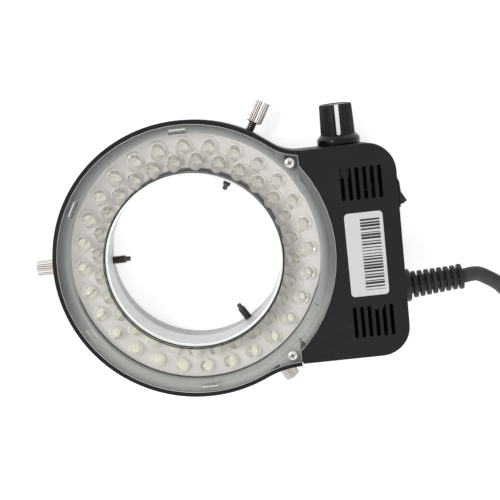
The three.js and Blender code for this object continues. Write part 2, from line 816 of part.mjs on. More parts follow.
// Outer trim: shallow ring between carrier and rim, with a flap under each ear of the clear cover
function outerTrim() {
  const inner = carrierOuterRadius + seatGap;
  const outer = recessRadius - seatGap;
  const high = bodyDepth - trimDepth;
  const low = high - trimFall - trimPlateThickness;
  const ring = toSolid(turned([
    [inner, high - trimSkirtDepth], [inner + trimSkirtThickness, high - trimSkirtDepth],
    [inner + trimSkirtThickness, low], [outer, low], [outer, high - trimFall], [inner, high],
  ]));
  const flapTop = coverSeatHeight;
  const bore = toSolid(rod(outer - trimFlapLap, 0, bodyDepth, ringFacets));
  const riserRing = toSolid(rod(outer, low, flapTop, ringFacets));
  const flaps = rimPrism(rimWall + seatGap, earPocketHeight + seatGap, flapTop);
  const risers = rimPrism(rimWall + seatGap, low, flapTop).intersect(riserRing);
  const ears = joined(flaps, risers).intersect(earZones()).subtract(bore);
  const holes = [topScrewPlace, bottomScrewPlace].map((place) => movedTo(
    rod(coverScrewRadius + seatGap, 0, bodyDepth, screwFacets), place.x, place.y,
  ));
  return fromSolid(cutBy(joined(ring, ears), ...holes));
}

// Boxes round the two ears, from where the fillets leave the ring to the seams
function earZones() {
  const reach = ringOuterRadius * 2;
  const topStart = topScrewPlace.x - boxCornerRadius / 2;
  const bottomStart = bottomScrewPlace.x - boxCornerRadius / 2;
  return joined(
    toSolid(block([topStart, 0, 0], [seamTopX - seatGap, reach, bodyDepth])),
    toSolid(block([bottomStart, -reach, 0], [seamBottomX - seatGap, 0, bodyDepth])),
  );
}

// LED carrier: conical plate with an upstand round the collar
function ledCarrier() {
  const inner = collarNeckRadius + seatGap;
  const lip = inner + carrierLipThickness;
  const drop = carrierThickness / Math.cos(ledTilt);
  const high = carrierFace(lip) + carrierLipRise;
  return closed(turned([
    [inner, carrierFace(inner) - drop], [carrierOuterRadius, carrierFace(carrierOuterRadius) - drop],
    [carrierOuterRadius, carrierFace(carrierOuterRadius)], [lip, carrierFace(lip)], [lip, high],
    [inner, high],
  ]));
}

// One row of LEDs on its solder strip
function ledRow(rowRadius, phase) {
  const [domeWide, domeHigh] = ledDomeShares;
  const domeRise = ledHeight - ledShoulderHeight;
  const bulb = turned([
    [0, 0], [ledRadius, 0], [ledRadius, ledShoulderHeight],
    [ledRadius * domeWide, ledShoulderHeight + domeRise * domeHigh], [0, ledHeight],
  ], ledFacets);
  bulb.rotateY(-ledTilt).translate(rowRadius, 0, ledFoot(rowRadius));
  const half = solderStripWidth / 2;
  const strip = toSolid(turned([
    [rowRadius - half, stripFace(rowRadius - half)],
    [rowRadius + half, stripFace(rowRadius + half)],
    [rowRadius, stripFace(rowRadius) + solderStripThickness],
  ], ledsPerRow).rotateZ(phase));
  const leds = around(ledsPerRow, phase).map((angle) => toSolid(bulb.clone().rotateZ(angle)));
  return fromSolid(joined(strip, ...leds));
}

function ledFoot(radius) {
  return carrierFace(radius) + seatGap / Math.cos(ledTilt);
}

function stripFace(radius) {
  return ledFoot(radius) + solderStripRise;
}

// Collar: thin lip and neck inside the LED field, a thick boss for the screws and a flange on the floor
function collar() {
  const lipTop = bodyDepth - collarLipDepth;
  const neckTop = ledFoot(innerRowRadius) + ledInnerRise - collarNeckDrop;
  const step = bodyDepth - collarStepDepth;
  const stepRadius = collarLipRadius + collarTaper;
  const drop = carrierThickness / Math.cos(ledTilt);
  const bossTop = carrierFace(collarNeckRadius + seatGap) - drop - collarBossGap;
  const flangeLow = floorThickness + seatGap;
  const flangeTop = flangeLow + collarFlangeThickness;
  const profile = turned([
    [collarLipRadius + collarRearFlare, collarRearRise], [collarSpigotRadius, collarRearRise],
    [collarSpigotRadius, flangeLow], [collarFlangeRadius, flangeLow], [collarFlangeRadius, flangeTop],
    [collarBossRadius, flangeTop], [collarBossRadius, bossTop], [collarNeckRadius, bossTop],
    [collarNeckRadius, neckTop], [lipOuterRadius, neckTop + collarNeckWall], [lipOuterRadius, lipTop],
    [collarLipRadius + collarChamfer, lipTop], [collarLipRadius, lipTop - collarChamfer],
    [stepRadius, step], [stepRadius + collarStep, step],
  ], collarFacets);
  const thumbHoles = around(thumbScrewCount, thumbScrewPhase).map((angle) => radialRod(
    thumbScrewRadius + seatGap, collarLipRadius - cutOverrun, collarBossRadius + cutOverrun, angle,
  ));
  const pilots = collarScrewPlaces().map((place) => movedTo(
    rod(collarScrewRadius + seatGap, 0, flangeTop + cutOverrun, screwFacets), place.x, place.y,
  ));
  return fromSolid(cutBy(toSolid(profile), ...thumbHoles, ...pilots));
}

function collarScrewPlaces() {
  const reach = (collarSpigotRadius + seatGap + collarFlangeRadius) / 2;
  return around(collarScrewCount).map((angle) => new THREE.Vector2(
    reach * Math.cos(angle),
    reach * Math.sin(angle),
  ));
}

function collarScrewHole() {
  const head = collarScrewHeadRadius + seatGap;
  const shank = collarScrewRadius + seatGap;
  const coneTop = collarScrewSink + collarScrewHeadHeight;
  return turned([
    [0, -cutOverrun], [head, -cutOverrun], [head, collarScrewSink], [shank, coneTop],
    [shank, floorThickness + cutOverrun], [0, floorThickness + cutOverrun],
  ], screwFacets);
}

// Countersunk screw, its head down and flush with the rear plane
function collarScrew() {
  const coneTop = collarScrewSink + collarScrewHeadHeight;
  const end = floorThickness + seatGap + collarFlangeThickness;
  return closed(turned([
    [0, collarScrewSink], [collarScrewHeadRadius, collarScrewSink], [collarScrewRadius, coneTop],
    [collarScrewRadius, end], [0, end],
  ], screwFacets));
}

// Thumb screw, lying along Z from its dog point outwards
function thumbShank() {
  const shoulder = thumbScrewTipRadius + thumbScrewDogLength;
  const end = thumbHeadStart + thumbHeadSocket;
  return closed(turned([
    [0, thumbScrewTipRadius], [thumbScrewDogRadius, thumbScrewTipRadius], [thumbScrewDogRadius, shoulder],
    [thumbScrewRadius, shoulder], [thumbScrewRadius, end], [0, end],
  ], screwFacets));
}

function knurledOutline(radius, ridges, depth) {
  return Array.from({ length: ridges * 2 }, (_, i) => {
    const angle = (i * fullTurn) / (ridges * 2);
    const reach = i % 2 ? radius - depth : radius;
    return new THREE.Vector2(reach * Math.cos(angle), reach * Math.sin(angle));
  });
}

function thumbHead() {
  const end = thumbHeadStart + thumbHeadLength;
  const full = knurledOutline(thumbHeadRadius, knurlCount, knurlDepth);
  const small = knurledOutline(thumbHeadRadius - thumbHeadChamfer, knurlCount, 0);
  const grip = toSolid(loft(
    [small, full, full, small],
    [thumbHeadStart, thumbHeadStart + thumbHeadChamfer / 2, end - thumbHeadChamfer, end],
  ));
  const socket = toSolid(rod(
    thumbScrewRadius + seatGap, thumbHeadStart - cutOverrun, thumbHeadStart + thumbHeadSocket + seatGap,
  ));
  return fromSolid(grip.subtract(socket));
}

// Pan-head self-tapping screw of the box, its head sunk in the rear face
function boxScrew() {
  const headTop = boxScrewSink + boxScrewHeadHeight;
  const end = boxScrewSink + boxScrewLength;
  return closed(turned([
    [0, boxScrewSink], [boxScrewHeadRadius, boxScrewSink], [boxScrewHeadRadius, headTop],
    [boxScrewRadius, headTop], [boxScrewRadius, end], [0, end],
  ], screwFacets));
}

// Dimmer, drawn along Z: the potentiometer's face is at zero, and the knob is above it
const dimmerWallRun = boxTopAt(cordHeight) - dimmerFaceY;

function dimmerBody() {
  const can = rod(dimmerBodyRadius, -dimmerBodyLength, 0, canFacets);
  const bushing = rod(dimmerBushingRadius, -seatGap, dimmerBushingLength);
  const bore = rod(dimmerShaftRadius + seatGap, -dimmerBodyLength / 2, dimmerBushingLength + cutOverrun);
  return fromSolid(cutBy(joined(toSolid(can), toSolid(bushing)), toSolid(bore)));
}

function dimmerShaft() {
  const high = knobHeights().top - knobTopThickness - seatGap;
  return closed(rod(dimmerShaftRadius, seatGap - dimmerBodyLength / 2, high));
}

function dimmerNut() {
  const low = dimmerWallRun + seatGap;
  const hexagon = rod(dimmerNutRadius, low, low + dimmerNutThickness, nutSides);
  const bore = rod(dimmerBushingRadius + seatGap, low - cutOverrun, low + dimmerNutThickness + cutOverrun);
  return fromSolid(toSolid(hexagon).subtract(toSolid(bore)));
}

function knobHeights() {
  const foot = dimmerWallRun + knobStand;
  const skirt = foot + knobSkirtHeight;
  const shoulder = skirt + knobShoulderHeight;
  return { foot, skirt, shoulder, top: shoulder + knobCapHeight };
}

function dimmerKnob() {
  const { foot, skirt, shoulder, top } = knobHeights();
  const base = toSolid(turned([
    [0, foot], [knobSkirtRadius, foot], [knobSkirtRadius, skirt], [knobCapBaseRadius, shoulder],
    [0, shoulder],
  ], knobFacets));
  const cap = toSolid(loft(
    [
      knurledOutline(knobCapBaseRadius, fluteCount, fluteDepth),
      knurledOutline(knobCapTopRadius, fluteCount, fluteDepth),
    ],
    [shoulder - seatGap, top],
  ));
  const nutRoom = dimmerWallRun + seatGap + dimmerNutThickness + runningGap;
  const shaftEnd = top - knobTopThickness;
  const recess = toSolid(rod(knobRecessRadius, foot - cutOverrun, nutRoom, shaftFacets * 2));
  const bushingRoom = toSolid(rod(dimmerBushingRadius + seatGap, foot, dimmerBushingLength + runningGap));
  const bore = toSolid(rod(dimmerShaftRadius + seatGap, foot, shaftEnd));
  const groove = toSolid(pointerBar(seatGap));
  return fromSolid(cutBy(joined(base, cap), recess, bushingRoom, bore, groove));
}

// Bar of the pointer on the knob's lit side, leaning with the cap
function pointerBar(extra) {
  const { shoulder, top } = knobHeights();
  const half = pointerWidth / 2 + extra;
  const slice = (radius) => [
    new THREE.Vector2(-half, -radius - extra * 2),
    new THREE.Vector2(half, -radius - extra * 2),
    new THREE.Vector2(half, pointerDepth - radius + extra),
    new THREE.Vector2(-half, pointerDepth - radius + extra),
  ];
  return loft(
    [slice(knobCapBaseRadius), slice(knobCapTopRadius)],
    [shoulder + seatGap - extra, top + extra],
  );
}

function knobPointer() {
  return closed(pointerBar(0));
}

// Rocker switch, drawn along Z: outwards is up, and the long side lies along Y
function switchBodyHalfLength() {
  return rockerRadius + runningGap + switchBodyWall / 2;
}

function switchBodyHalfWidth() {
  return rockerWidth / 2 + runningGap + switchBodyWall;
}

const rockerPivot = rockerPivotRise;

function switchBody() {
  const bezel = toSolid(prism(
    roundedRectangle(bezelWidth, bezelLength, bezelCorner), 0, bezelThickness, frameCornerSteps,
  ));
  const body = toSolid(block(
    [-switchBodyHalfWidth(), -switchBodyHalfLength(), -switchBodyDepth],
    [switchBodyHalfWidth(), switchBodyHalfLength(), bezelThickness / 2],
  ));
  const room = toSolid(block(
    [-rockerWidth / 2 - runningGap, -rockerRadius - runningGap, rockerPivot - rockerRadius - runningGap],
    [rockerWidth / 2 + runningGap, rockerRadius + runningGap, bezelThickness + cutOverrun],
  ));
  const pinHole = toSolid(rod(
    rockerPinRadius + runningGap,
    -rockerWidth / 2 - runningGap - rockerPinLength,
    rockerWidth / 2 + runningGap + rockerPinLength,
    8,
  ).rotateY(quarterTurn).translate(0, 0, rockerPivot));
  return fromSolid(cutBy(joined(bezel, body), room, pinHole));
}

// Rocker: rounded ends about its pivot and a dished face, tilted to its rest place
function rocker() {
  const end = Math.asin(rockerEndShare);
  const face = arcPoints(0, 0, rockerRadius, Math.PI - end, fullTurn + end, rockerFaceSteps);
  const rise = rockerRadius * rockerEndShare;
  const dish = rockerDishShares.map((share) => new THREE.Vector2(
    rockerRadius * Math.cos(end) * share,
    rise - rockerDish * (1 - share * share * 2),
  ));
  const shape = new THREE.Shape([...face, ...dish]);
  const body = toSolid(prism(shape, -rockerWidth / 2, rockerWidth / 2));
  const pin = toSolid(rod(
    rockerPinRadius, -rockerWidth / 2 - rockerPinLength, rockerWidth / 2 + rockerPinLength, screwFacets,
  ));
  return fromSolid(joined(body, pin));
}

function switchTerminal() {
  return block(
    [-terminalWidth / 2, -terminalThickness / 2, -terminalLength],
    [terminalWidth / 2, terminalThickness / 2, -seatGap],
  );
}

// Strain relief along Z from the wall: head inside, neck in the wall, flange outside, then tilted ribs
function strainRelief() {
  const inner = innerRight - reliefWallX - seatGap;
  const root = toSolid(turned([
    [0, inner - reliefHeadLength], [reliefHeadRadius, inner - reliefHeadLength], [reliefHeadRadius, inner],
    [reliefNeckRadius, inner], [reliefNeckRadius, seatGap], [reliefFlangeRadius, seatGap],
    [reliefFlangeRadius, reliefFlangeLength], [0, reliefFlangeLength],
  ], reliefFacets));
  const ribs = toSolid(turned(ribProfile(), reliefFacets)
    .rotateX(-reliefTilt)
    .translate(0, 0, reliefFlangeLength));
  return fromSolid(joined(root, ribs));
}

function ribProfile() {
  const pitch = reliefLength / reliefRibCount;
  const profile = [[0, -seatGap * 2], [reliefCoreRadius, -seatGap * 2]];
  for (let i = 0; i < reliefRibCount; i += 1) {
    const radius = reliefRibRadius + ((reliefEndRadius - reliefRibRadius) * i) / (reliefRibCount - 1);
    const low = pitch * (i + 1 - reliefRibShare);
    const high = pitch * (i + 1);
    profile.push([reliefCoreRadius, low], [radius, low], [radius, high]);
    if (i + 1 < reliefRibCount) {
      profile.push([reliefCoreRadius, high]);
    }
  }
  profile.push([0, reliefLength]);
  return profile;
}

// Cord inside the box and the bridge that clamps it
function cordTail() {
  return closed(rod(cordRadius, -tailLength / 2, tailLength / 2));
}

function cordClamp() {
  const bridge = toSolid(block(
    [-clampWidth / 2, -clampHalf, clampTop - clampWall],
    [clampWidth / 2, clampHalf, clampTop],
  ));
  const run = cordRadius + seatGap + clampFoot / 2;
  const holes = [-run, run].map((y) => movedTo(
    rod(clampScrewRadius + seatGap, 0, clampTop + cutOverrun, screwFacets), 0, y,
  ));
  return fromSolid(cutBy(bridge, ...holes));
}

function clampScrew() {
  return closed(turned([
    [0, cordHeight + seatGap], [clampScrewRadius, cordHeight + seatGap], [clampScrewRadius, clampTop],
    [clampScrewHeadRadius, clampTop], [clampScrewHeadRadius, clampTop + clampScrewHeadHeight],
    [0, clampTop + clampScrewHeadHeight],
  ], screwFacets));
}

// Supply board and what stands on it
function driverBoard() {
  return block([boardLeft, boardStart, boardLow], [boardRight, boardEnd, boardTop]);
}

function transformer() {
  const half = transformerLength / 2;
  const core = toSolid(block(
    [-half, -transformerWidth / 4, 0],
    [half, transformerWidth / 4, transformerHeight],
  ));
  const winding = toSolid(block(
    [-half * windingShare, -transformerWidth / 2, transformerHeight * yokeShare],
    [half * windingShare, transformerWidth / 2, transformerHeight * (1 - yokeShare)],
  ));
  return fromSolid(joined(core, winding));
}

function heatSink() {
  const plate = toSolid(block(
    [0, -regulatorWidth / 2 - heatSinkThickness, 0],
    [heatSinkThickness, regulatorWidth / 2 + heatSinkThickness, heatSinkHeight],
  ));
  const fins = [-1, 1].map((side) => toSolid(block(
    [0, side * (regulatorWidth / 2 + heatSinkThickness / 2) - heatSinkThickness / 2, 0],
    [heatSinkFinReach, side * (regulatorWidth / 2 + heatSinkThickness / 2) + heatSinkThickness / 2,
      heatSinkHeight],
  )));
  return fromSolid(joined(plate, ...fins));
}

function curveThrough(points) {
  return new THREE.CatmullRomCurve3(points.map((p) => new THREE.Vector3(...p)), false, 'centripetal');
}

// Leads from the board through the partition to the carrier, and from the switch to the board
function ledLead(side) {
  const y = (boardStart + boardEnd) / 2 + side * leadNotchWidth / 4;
  const low = floorThickness + 2 * leadRadius + seatGap;
  const reach = (outerRowRadius + innerRowRadius) / 2;
  const end = carrierFace(reach) - carrierThickness / Math.cos(ledTilt) - leadRadius - seatGap;
  const start = boardLeft - leadRadius - seatGap;
  return closed(tube(curveThrough([
    [start, y, boardTop], [start, y, boardLow], [start - leadBend, y, low],
    [(start + reach) / 2, y, low], [reach + leadBend, y, low], [reach + leadRadius, y, (low + end) / 2],
    [reach, y, end],
  ]), leadRadius, leadSteps, leadSides));
}

function switchLead() {
  const x = boxRightReach - switchBodyDepth - terminalLength - leadRadius - seatGap * 2;
  const end = boardEnd - 2 * leadRadius;
  return closed(tube(curveThrough([
    [x, rockerY, rockerHeight + terminalWidth / 2], [x, rockerY, rockerHeight - terminalWidth],
    [x, (rockerY + end) / 2, (rockerHeight + boardTop) / 2], [x, end, boardTop + leadBend],
    [x, end, boardTop + leadRadius],
  ]), leadRadius, switchLeadSteps, leadSides));
}

// Cord from the strain relief to the coil; it leaves and arrives straight for one diameter
function mainsCord() {
  const out = new THREE.Vector3(Math.cos(reliefTilt), Math.sin(reliefTilt), 0);
  const relief = new THREE.Vector3(reliefWallX + reliefFlangeLength, reliefY, cordHeight)
    .addScaledVector(out, reliefLength);
  const [coilStart, coilNext] = coilPoints();
  const into = coilNext.clone().sub(coilStart).setZ(0).normalize();
  return closed(tube(curveThrough([
    relief.clone().addScaledVector(out, seatGap),
    relief.clone().addScaledVector(out, 2 * cordRadius),
    ...cordRoute,
    coilStart.clone().addScaledVector(into, -2 * cordRadius),
    coilStart.clone().addScaledVector(into, -seatGap),
  ].map((point) => (point.isVector3 ? point.toArray() : point))), cordRadius, cordSteps, cordSides));
}

// Coil: spirals in on the lower layer, climbs in the half turn where it reverses, and spirals out on top
const coilRadius = cordRadius;
const coilLow = coilRise + cordRadius;
const coilTurns = 2 * coilHalfTurns;
const coilLayerRise = coilPitch;

function coilPoint(turn) {
  const fromMiddle = turn - coilHalfTurns;
  const radius = coilInnerRadius + coilPitch * Math.abs(fromMiddle);
  const climb = THREE.MathUtils.clamp(fromMiddle * 2 + 0.5, 0, 1);
  const angle = coilStartAngle + turn * fullTurn;
  return new THREE.Vector3(
    coilCentre.x + radius * Math.cos(angle),
    coilCentre.y + radius * Math.sin(angle),
    coilLow + coilLayerRise * climb,
  );
}

function coilPoints() {
  const steps = Math.round(coilTurns * coilSteps);
  const points = Array.from({ length: steps + 1 }, (_, i) => coilPoint((coilTurns * i) / steps));
  const straight = coilRadius * 2;
  const first = points[0].clone().sub(points[1]).setLength(straight).add(points[0]);
  const beyond = points[steps].clone().sub(points[steps - 1]).setLength(straight).add(points[steps]);
  first.z = points[0].z;
  beyond.z = points[steps].z;
  return [first, ...points, beyond];
}

// Unbroken tube through points, its sections upright and square to the path
function woundTube(points, radius, sides) {
  const rings = points.map((point, i) => {
    const before = points[Math.max(i - 1, 0)];
    const after = points[Math.min(i + 1, points.length - 1)];
    const along = after.clone().sub(before).normalize();
    const across = new THREE.Vector3(along.y, -along.x, 0).normalize();
    const up = across.clone().cross(along).normalize();
    return Array.from({ length: sides }, (_, side) => {
      const angle = ((side + 0.5) * fullTurn) / sides;
      return point.clone()
        .addScaledVector(across, radius * Math.cos(angle))
        .addScaledVector(up, radius * Math.sin(angle));
    });
  });
  const faces = [];
  for (let ring = 0; ring + 1 < rings.length; ring += 1) {
    for (let side = 0; side < sides; side += 1) {
      const near = ring * sides + side;
      const next = ring * sides + ((side + 1) % sides);
      faces.push(near, next + sides, next, near, near + sides, next + sides);
    }
  }
  const last = (rings.length - 1) * sides;
  for (let side = 1; side + 1 < sides; side += 1) {
    faces.push(0, side, side + 1, last, last + side + 1, last + side);
  }
  const geometry = new THREE.BufferGeometry();
  geometry.setAttribute('position', new THREE.Float32BufferAttribute(
    rings.flat().flatMap((corner) => corner.toArray()),
    3,
  ));
  geometry.setIndex(faces);
  return geometry;
}

// Least distance between stretches of the coil that are more than a quarter turn apart, less its diameter
function leastGap(points, radius) {
  let least = Infinity;
  for (let i = 0; i < points.length; i += 1) {
    for (let j = i + coilSteps / 4; j < points.length; j += 1) {
      least = Math.min(least, points[i].distanceTo(points[j]));
    }
  }
  return least - 2 * radius;
}

function cordCoil() {
  const points = coilPoints();
  console.log(`coil: least gap to itself ${leastGap(points, coilRadius).toFixed(2)} mm`);
  return closed(woundTube(points, coilRadius, coilSides));
}

// Band round the bundle of turns, from radius inside to radius outside
function cordTie() {
  const inner = coilInnerRadius - coilRadius - seatGap;
  const outer = coilInnerRadius + coilPitch * coilHalfTurns + coilRadius + seatGap;
  const low = coilRise - seatGap;
  const high = coilLow + coilLayerRise + coilRadius + seatGap;
  const frame = (extra) => toSolid(block(
    [inner - extra, -tieWidth / 2 - (extra ? 0 : cutOverrun), low - extra],
    [outer + extra, tieWidth / 2 + (extra ? 0 : cutOverrun), high + extra],
  ));
  return fromSolid(frame(tieThickness).subtract(frame(0)));
}

// Plug, drawn along Z from the end of its lead
function plugBody() {
  const body = new THREE.ExtrudeGeometry(
    roundedRectangle(plugHeight - 2 * plugChamfer, plugWidth - 2 * plugChamfer, plugCorner),
    {
      depth: plugLength - 2 * plugChamfer,
      bevelEnabled: true,
      bevelSize: plugChamfer,
      bevelThickness: plugChamfer,
      bevelSegments: 1,
      curveSegments: cornerSteps,
    },
  ).translate(plugDrop, 0, plugReliefLength + plugChamfer);
  const relief = turned([
    [0, 0], [plugReliefRadius - plugChamfer, 0],
    [plugReliefRadius + plugChamfer, plugReliefLength + seatGap],
    [0, plugReliefLength + seatGap],
  ], reliefFacets);
  return fromSolid(joined(toSolid(body), toSolid(relief)));
}

// The plug lies on the table, lower than the coil's upper layer
const plugDrop = coilLow + coilLayerRise - plugHeight / 2;

function plugPin() {
  const start = plugReliefLength + plugLength + seatGap;
  return block(
    [-pinWidth / 2, -pinThickness / 2, start],
    [pinWidth / 2, pinThickness / 2, start + pinLength],
  );
}

// Assembly
function group(position = [0, 0, 0], rotation = [0, 0, 0]) {
  const frame = new THREE.Group();
  frame.position.set(...position);
  frame.rotation.set(...rotation);
  return frame;
}

function shellPieces() {
  const parts = group();
  const labelMesh = piece('label', label(), labelPaper);
  labelMesh.position.set(boxRightReach - labelFromRight, boxTopReach - labelFromTop, bodyDepth);
  parts.add(
    piece('rear_housing', rearHousing(), blackPlastic),
    piece('box_cover', boxCover(), blackPlastic),
    piece('lens_cover', lensCover(), clearPlastic),
    labelMesh,
  );
  [topScrewPlace, bottomScrewPlace].forEach((place, i) => {
    const screw = piece(`cover_screw_${i + 1}`, coverScrew(), zincSteel);
    screw.position.set(place.x, place.y, bodyDepth);
    parts.add(screw);
  });
  postPlaces().forEach((place, i) => {
    const screw = piece(`box_screw_${i + 1}`, boxScrew(), zincSteel);
    screw.position.set(place.x, place.y, 0);
    parts.add(screw);
  });
  return parts;
}

function lampPieces() {
  const parts = group();
  parts.add(
    piece('outer_trim', outerTrim(), trimGrey),
    piece('led_carrier', ledCarrier(), carrierWhite),
    piece('led_row_outer', ledRow(outerRowRadius, rowPhase), ledResin),
    piece('led_row_inner', ledRow(innerRowRadius, rowPhase + fullTurn / (2 * ledsPerRow)), ledResin),
  );
  return parts;
}

function collarPieces() {
  const parts = group();
  parts.add(piece('collar', collar(), aluminium));
  collarScrewPlaces().forEach((place, i) => {
    const screw = piece(`collar_screw_${i + 1}`, collarScrew(), zincSteel);
    screw.position.set(place.x, place.y, 0);
    parts.add(screw);
  });
  around(thumbScrewCount, thumbScrewPhase).forEach((angle, i) => {
    const spoke = group([0, 0, thumbScrewHeight], [0, 0, angle]);
    const lying = group([0, 0, 0], [0, quarterTurn, 0]);
    lying.add(
      piece(`thumb_screw_shank_${i + 1}`, thumbShank(), darkSteel),
      piece(`thumb_screw_head_${i + 1}`, thumbHead(), nickel),
    );
    spoke.add(lying);
    parts.add(spoke);
  });
  return parts;
}

function dimmerPieces() {
  const parts = group([dimmerX, dimmerFaceY, cordHeight], [-quarterTurn, 0, 0]);
  parts.add(
    piece('dimmer_body', dimmerBody(), darkSteel),
    piece('dimmer_shaft', dimmerShaft(), aluminium),
    piece('dimmer_nut', dimmerNut(), nickel),
    piece('dimmer_knob', dimmerKnob(), blackPlastic),
    piece('knob_pointer', knobPointer(), whiteInlay),
  );
  return parts;
}

function switchPieces() {
  const face = boxRightAt(rockerHeight + bezelWidth / 2) + seatGap;
  const parts = group([face, rockerY, rockerHeight], [0, quarterTurn, 0]);
  const rockerMesh = piece('rocker', rocker(), blackPlastic);
  const tilted = group([0, 0, rockerPivot], [-rockerRestTilt, 0, 0]);
  const turnedRocker = group([0, 0, 0], [quarterTurn, quarterTurn, 0]);
  turnedRocker.add(rockerMesh);
  tilted.add(turnedRocker);
  parts.add(piece('switch_body', switchBody(), blackPlastic), tilted);
  [-1, 1].forEach((side, i) => {
    const terminal = piece(`switch_terminal_${i + 1}`, switchTerminal(), brass);
    terminal.position.set(0, side * rockerRadius / 2, -switchBodyDepth);
    parts.add(terminal);
  });
  return parts;
}

function supplyPieces() {
  const parts = group();
  const middleX = (boardLeft + boardRight) / 2;
  const standing = boardTop + seatGap;
  const onBoard = (name, geometry, finish, x, y) => {
    const mesh = piece(name, geometry, finish);
    mesh.position.set(x, y, standing);
    parts.add(mesh);
  };
  parts.add(piece('driver_board', driverBoard(), boardGreen));
  onBoard(
    'transformer', transformer(), copperTape, boardRight - transformerLength / 2 - seatGap,
    boardStart + transformerWidth / 2 + seatGap,
  );
  const capacitorY = boardStart + seatGap + transformerWidth + boardSpacing + capacitorRadius;
  [0, 1].forEach((i) => onBoard(
    `capacitor_${i + 1}`, closed(rod(capacitorRadius, 0, capacitorHeight)), capacitorBlue,
    boardRight - capacitorRadius - seatGap - i * (2 * capacitorRadius + boardSpacing), capacitorY,
  ));
  const fuse = piece('fuse', closed(rod(fuseRadius, -fuseLength / 2, fuseLength / 2)), clearPlastic);
  fuse.rotation.set(quarterTurn, 0, 0);
  fuse.position.set(
    boardLeft + fuseRadius + seatGap, boardStart + fuseLength / 2 + seatGap, standing + fuseRadius,
  );
  parts.add(fuse);
  const regulatorY = capacitorY + capacitorRadius + boardSpacing + regulatorWidth / 2 + heatSinkThickness;
  onBoard('heat_sink', heatSink(), aluminium, middleX, regulatorY);
  onBoard(
    'regulator',
    block([0, -regulatorWidth / 2, 0], [regulatorThickness, regulatorWidth / 2 - seatGap, regulatorHeight]),
    darkSteel, middleX - regulatorThickness - seatGap, regulatorY,
  );
  parts.add(
    piece('led_lead_1', ledLead(-1), leadRed),
    piece('led_lead_2', ledLead(1), cordBlack),
    piece('switch_lead', switchLead(), cordBlack),
  );
  return parts;
}

function cordPieces() {
  const parts = group();
  const relief = piece('strain_relief', strainRelief(), cordBlack);
  const entry = group([reliefWallX, reliefY, cordHeight], [0, quarterTurn, 0]);
  entry.add(relief);
  const tail = piece('cord_tail', cordTail(), cordBlack);
  tail.rotation.set(0, quarterTurn, 0);
  tail.position.set(clampX, reliefY, cordHeight);
  const clamp = piece('cord_clamp', cordClamp(), blackPlastic);
  clamp.position.set(clampX, reliefY, 0);
  parts.add(entry, tail, clamp);
  clampPostPlaces().forEach((place, i) => {
    const screw = piece(`clamp_screw_${i + 1}`, clampScrew(), zincSteel);
    screw.position.set(place.x, place.y, 0);
    parts.add(screw);
  });
  parts.add(piece('mains_cord', mainsCord(), cordBlack), piece('cord_coil', cordCoil(), cordBlack));
  const tie = piece('cord_tie', cordTie(), blackPlastic);
  tie.position.set(coilCentre.x, coilCentre.y, 0);
  tie.rotation.set(0, 0, tieAngle);
  parts.add(tie);
  parts.add(plugPieces());
  return parts;
}

// Plug in line with the coil's upper end
function plugPieces() {
  const points = coilPoints();
  const end = points[points.length - 1];
  const along = end.clone().sub(points[points.length - 2]);
  const parts = group([end.x, end.y, end.z], [0, 0, Math.atan2(along.y, along.x)]);
  const lying = group([seatGap, 0, 0], [0, quarterTurn, 0]);
  lying.add(piece('plug_body', plugBody(), cordBlack));
  [-1, 1].forEach((side, i) => {
    const pin = piece(`plug_pin_${i + 1}`, plugPin(), brass);
    pin.position.set(plugDrop, side * pinSpacing / 2, 0);
    lying.add(pin);
  });
  parts.add(lying);
  return parts;
}

// The origin is below the middle of the light without its cord
const leftReach = thumbHeadStart + thumbHeadLength;
const rightReach = reliefWallX + reliefFlangeLength
  + reliefLength * Math.cos(reliefTilt) + reliefEndRadius * Math.sin(reliefTilt);
const ringLight = group([(leftReach - rightReach) / 2, 0, 0]);
ringLight.name = 'ring_light';
ringLight.add(
  shellPieces(), lampPieces(), collarPieces(), dimmerPieces(), switchPieces(), supplyPieces(), cordPieces(),
);

export default ringLight;
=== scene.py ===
import math

import bmesh
import bpy
from mathutils import Matrix, Vector


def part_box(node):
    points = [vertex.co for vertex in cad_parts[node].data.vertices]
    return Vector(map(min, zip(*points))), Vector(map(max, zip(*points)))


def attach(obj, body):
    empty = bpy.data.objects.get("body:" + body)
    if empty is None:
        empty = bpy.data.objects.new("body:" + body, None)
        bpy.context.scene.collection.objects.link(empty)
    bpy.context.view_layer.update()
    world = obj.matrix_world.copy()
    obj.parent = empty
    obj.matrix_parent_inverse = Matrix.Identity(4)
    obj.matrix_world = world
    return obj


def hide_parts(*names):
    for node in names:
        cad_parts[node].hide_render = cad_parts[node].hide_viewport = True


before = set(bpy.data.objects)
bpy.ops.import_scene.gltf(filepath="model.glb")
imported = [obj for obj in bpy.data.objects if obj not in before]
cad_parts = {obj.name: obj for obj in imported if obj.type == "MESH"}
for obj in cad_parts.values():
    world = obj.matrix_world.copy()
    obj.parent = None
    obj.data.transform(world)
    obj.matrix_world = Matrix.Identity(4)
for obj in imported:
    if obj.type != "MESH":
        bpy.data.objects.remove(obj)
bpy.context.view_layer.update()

# Microscope ring light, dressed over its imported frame. Shapes are drawn in millimetres from the ring's
# axis, with the rear face at zero, and set in the shared frame, in metres, as they are finished.
MM = 0.001
RING_AXIS_X = -0.018834341
PLACE = Matrix.Translation((RING_AXIS_X, 0, 0)) @ Matrix.Scale(MM, 4)
Z_TO_X = Matrix.Rotation(math.radians(90), 4, "Y")
FULL_TURN = 2 * math.pi
scene = bpy.context.scene


def node_box(node):
    """Lowest and highest corner of a CAD node, in millimetres from the ring's axis."""
    return [[(corner[0] - RING_AXIS_X) / MM, corner[1] / MM, corner[2] / MM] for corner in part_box(node)]


def add_object(name, data):
    thing = bpy.data.objects.new(name, data)
    scene.collection.objects.link(thing)
    return thing


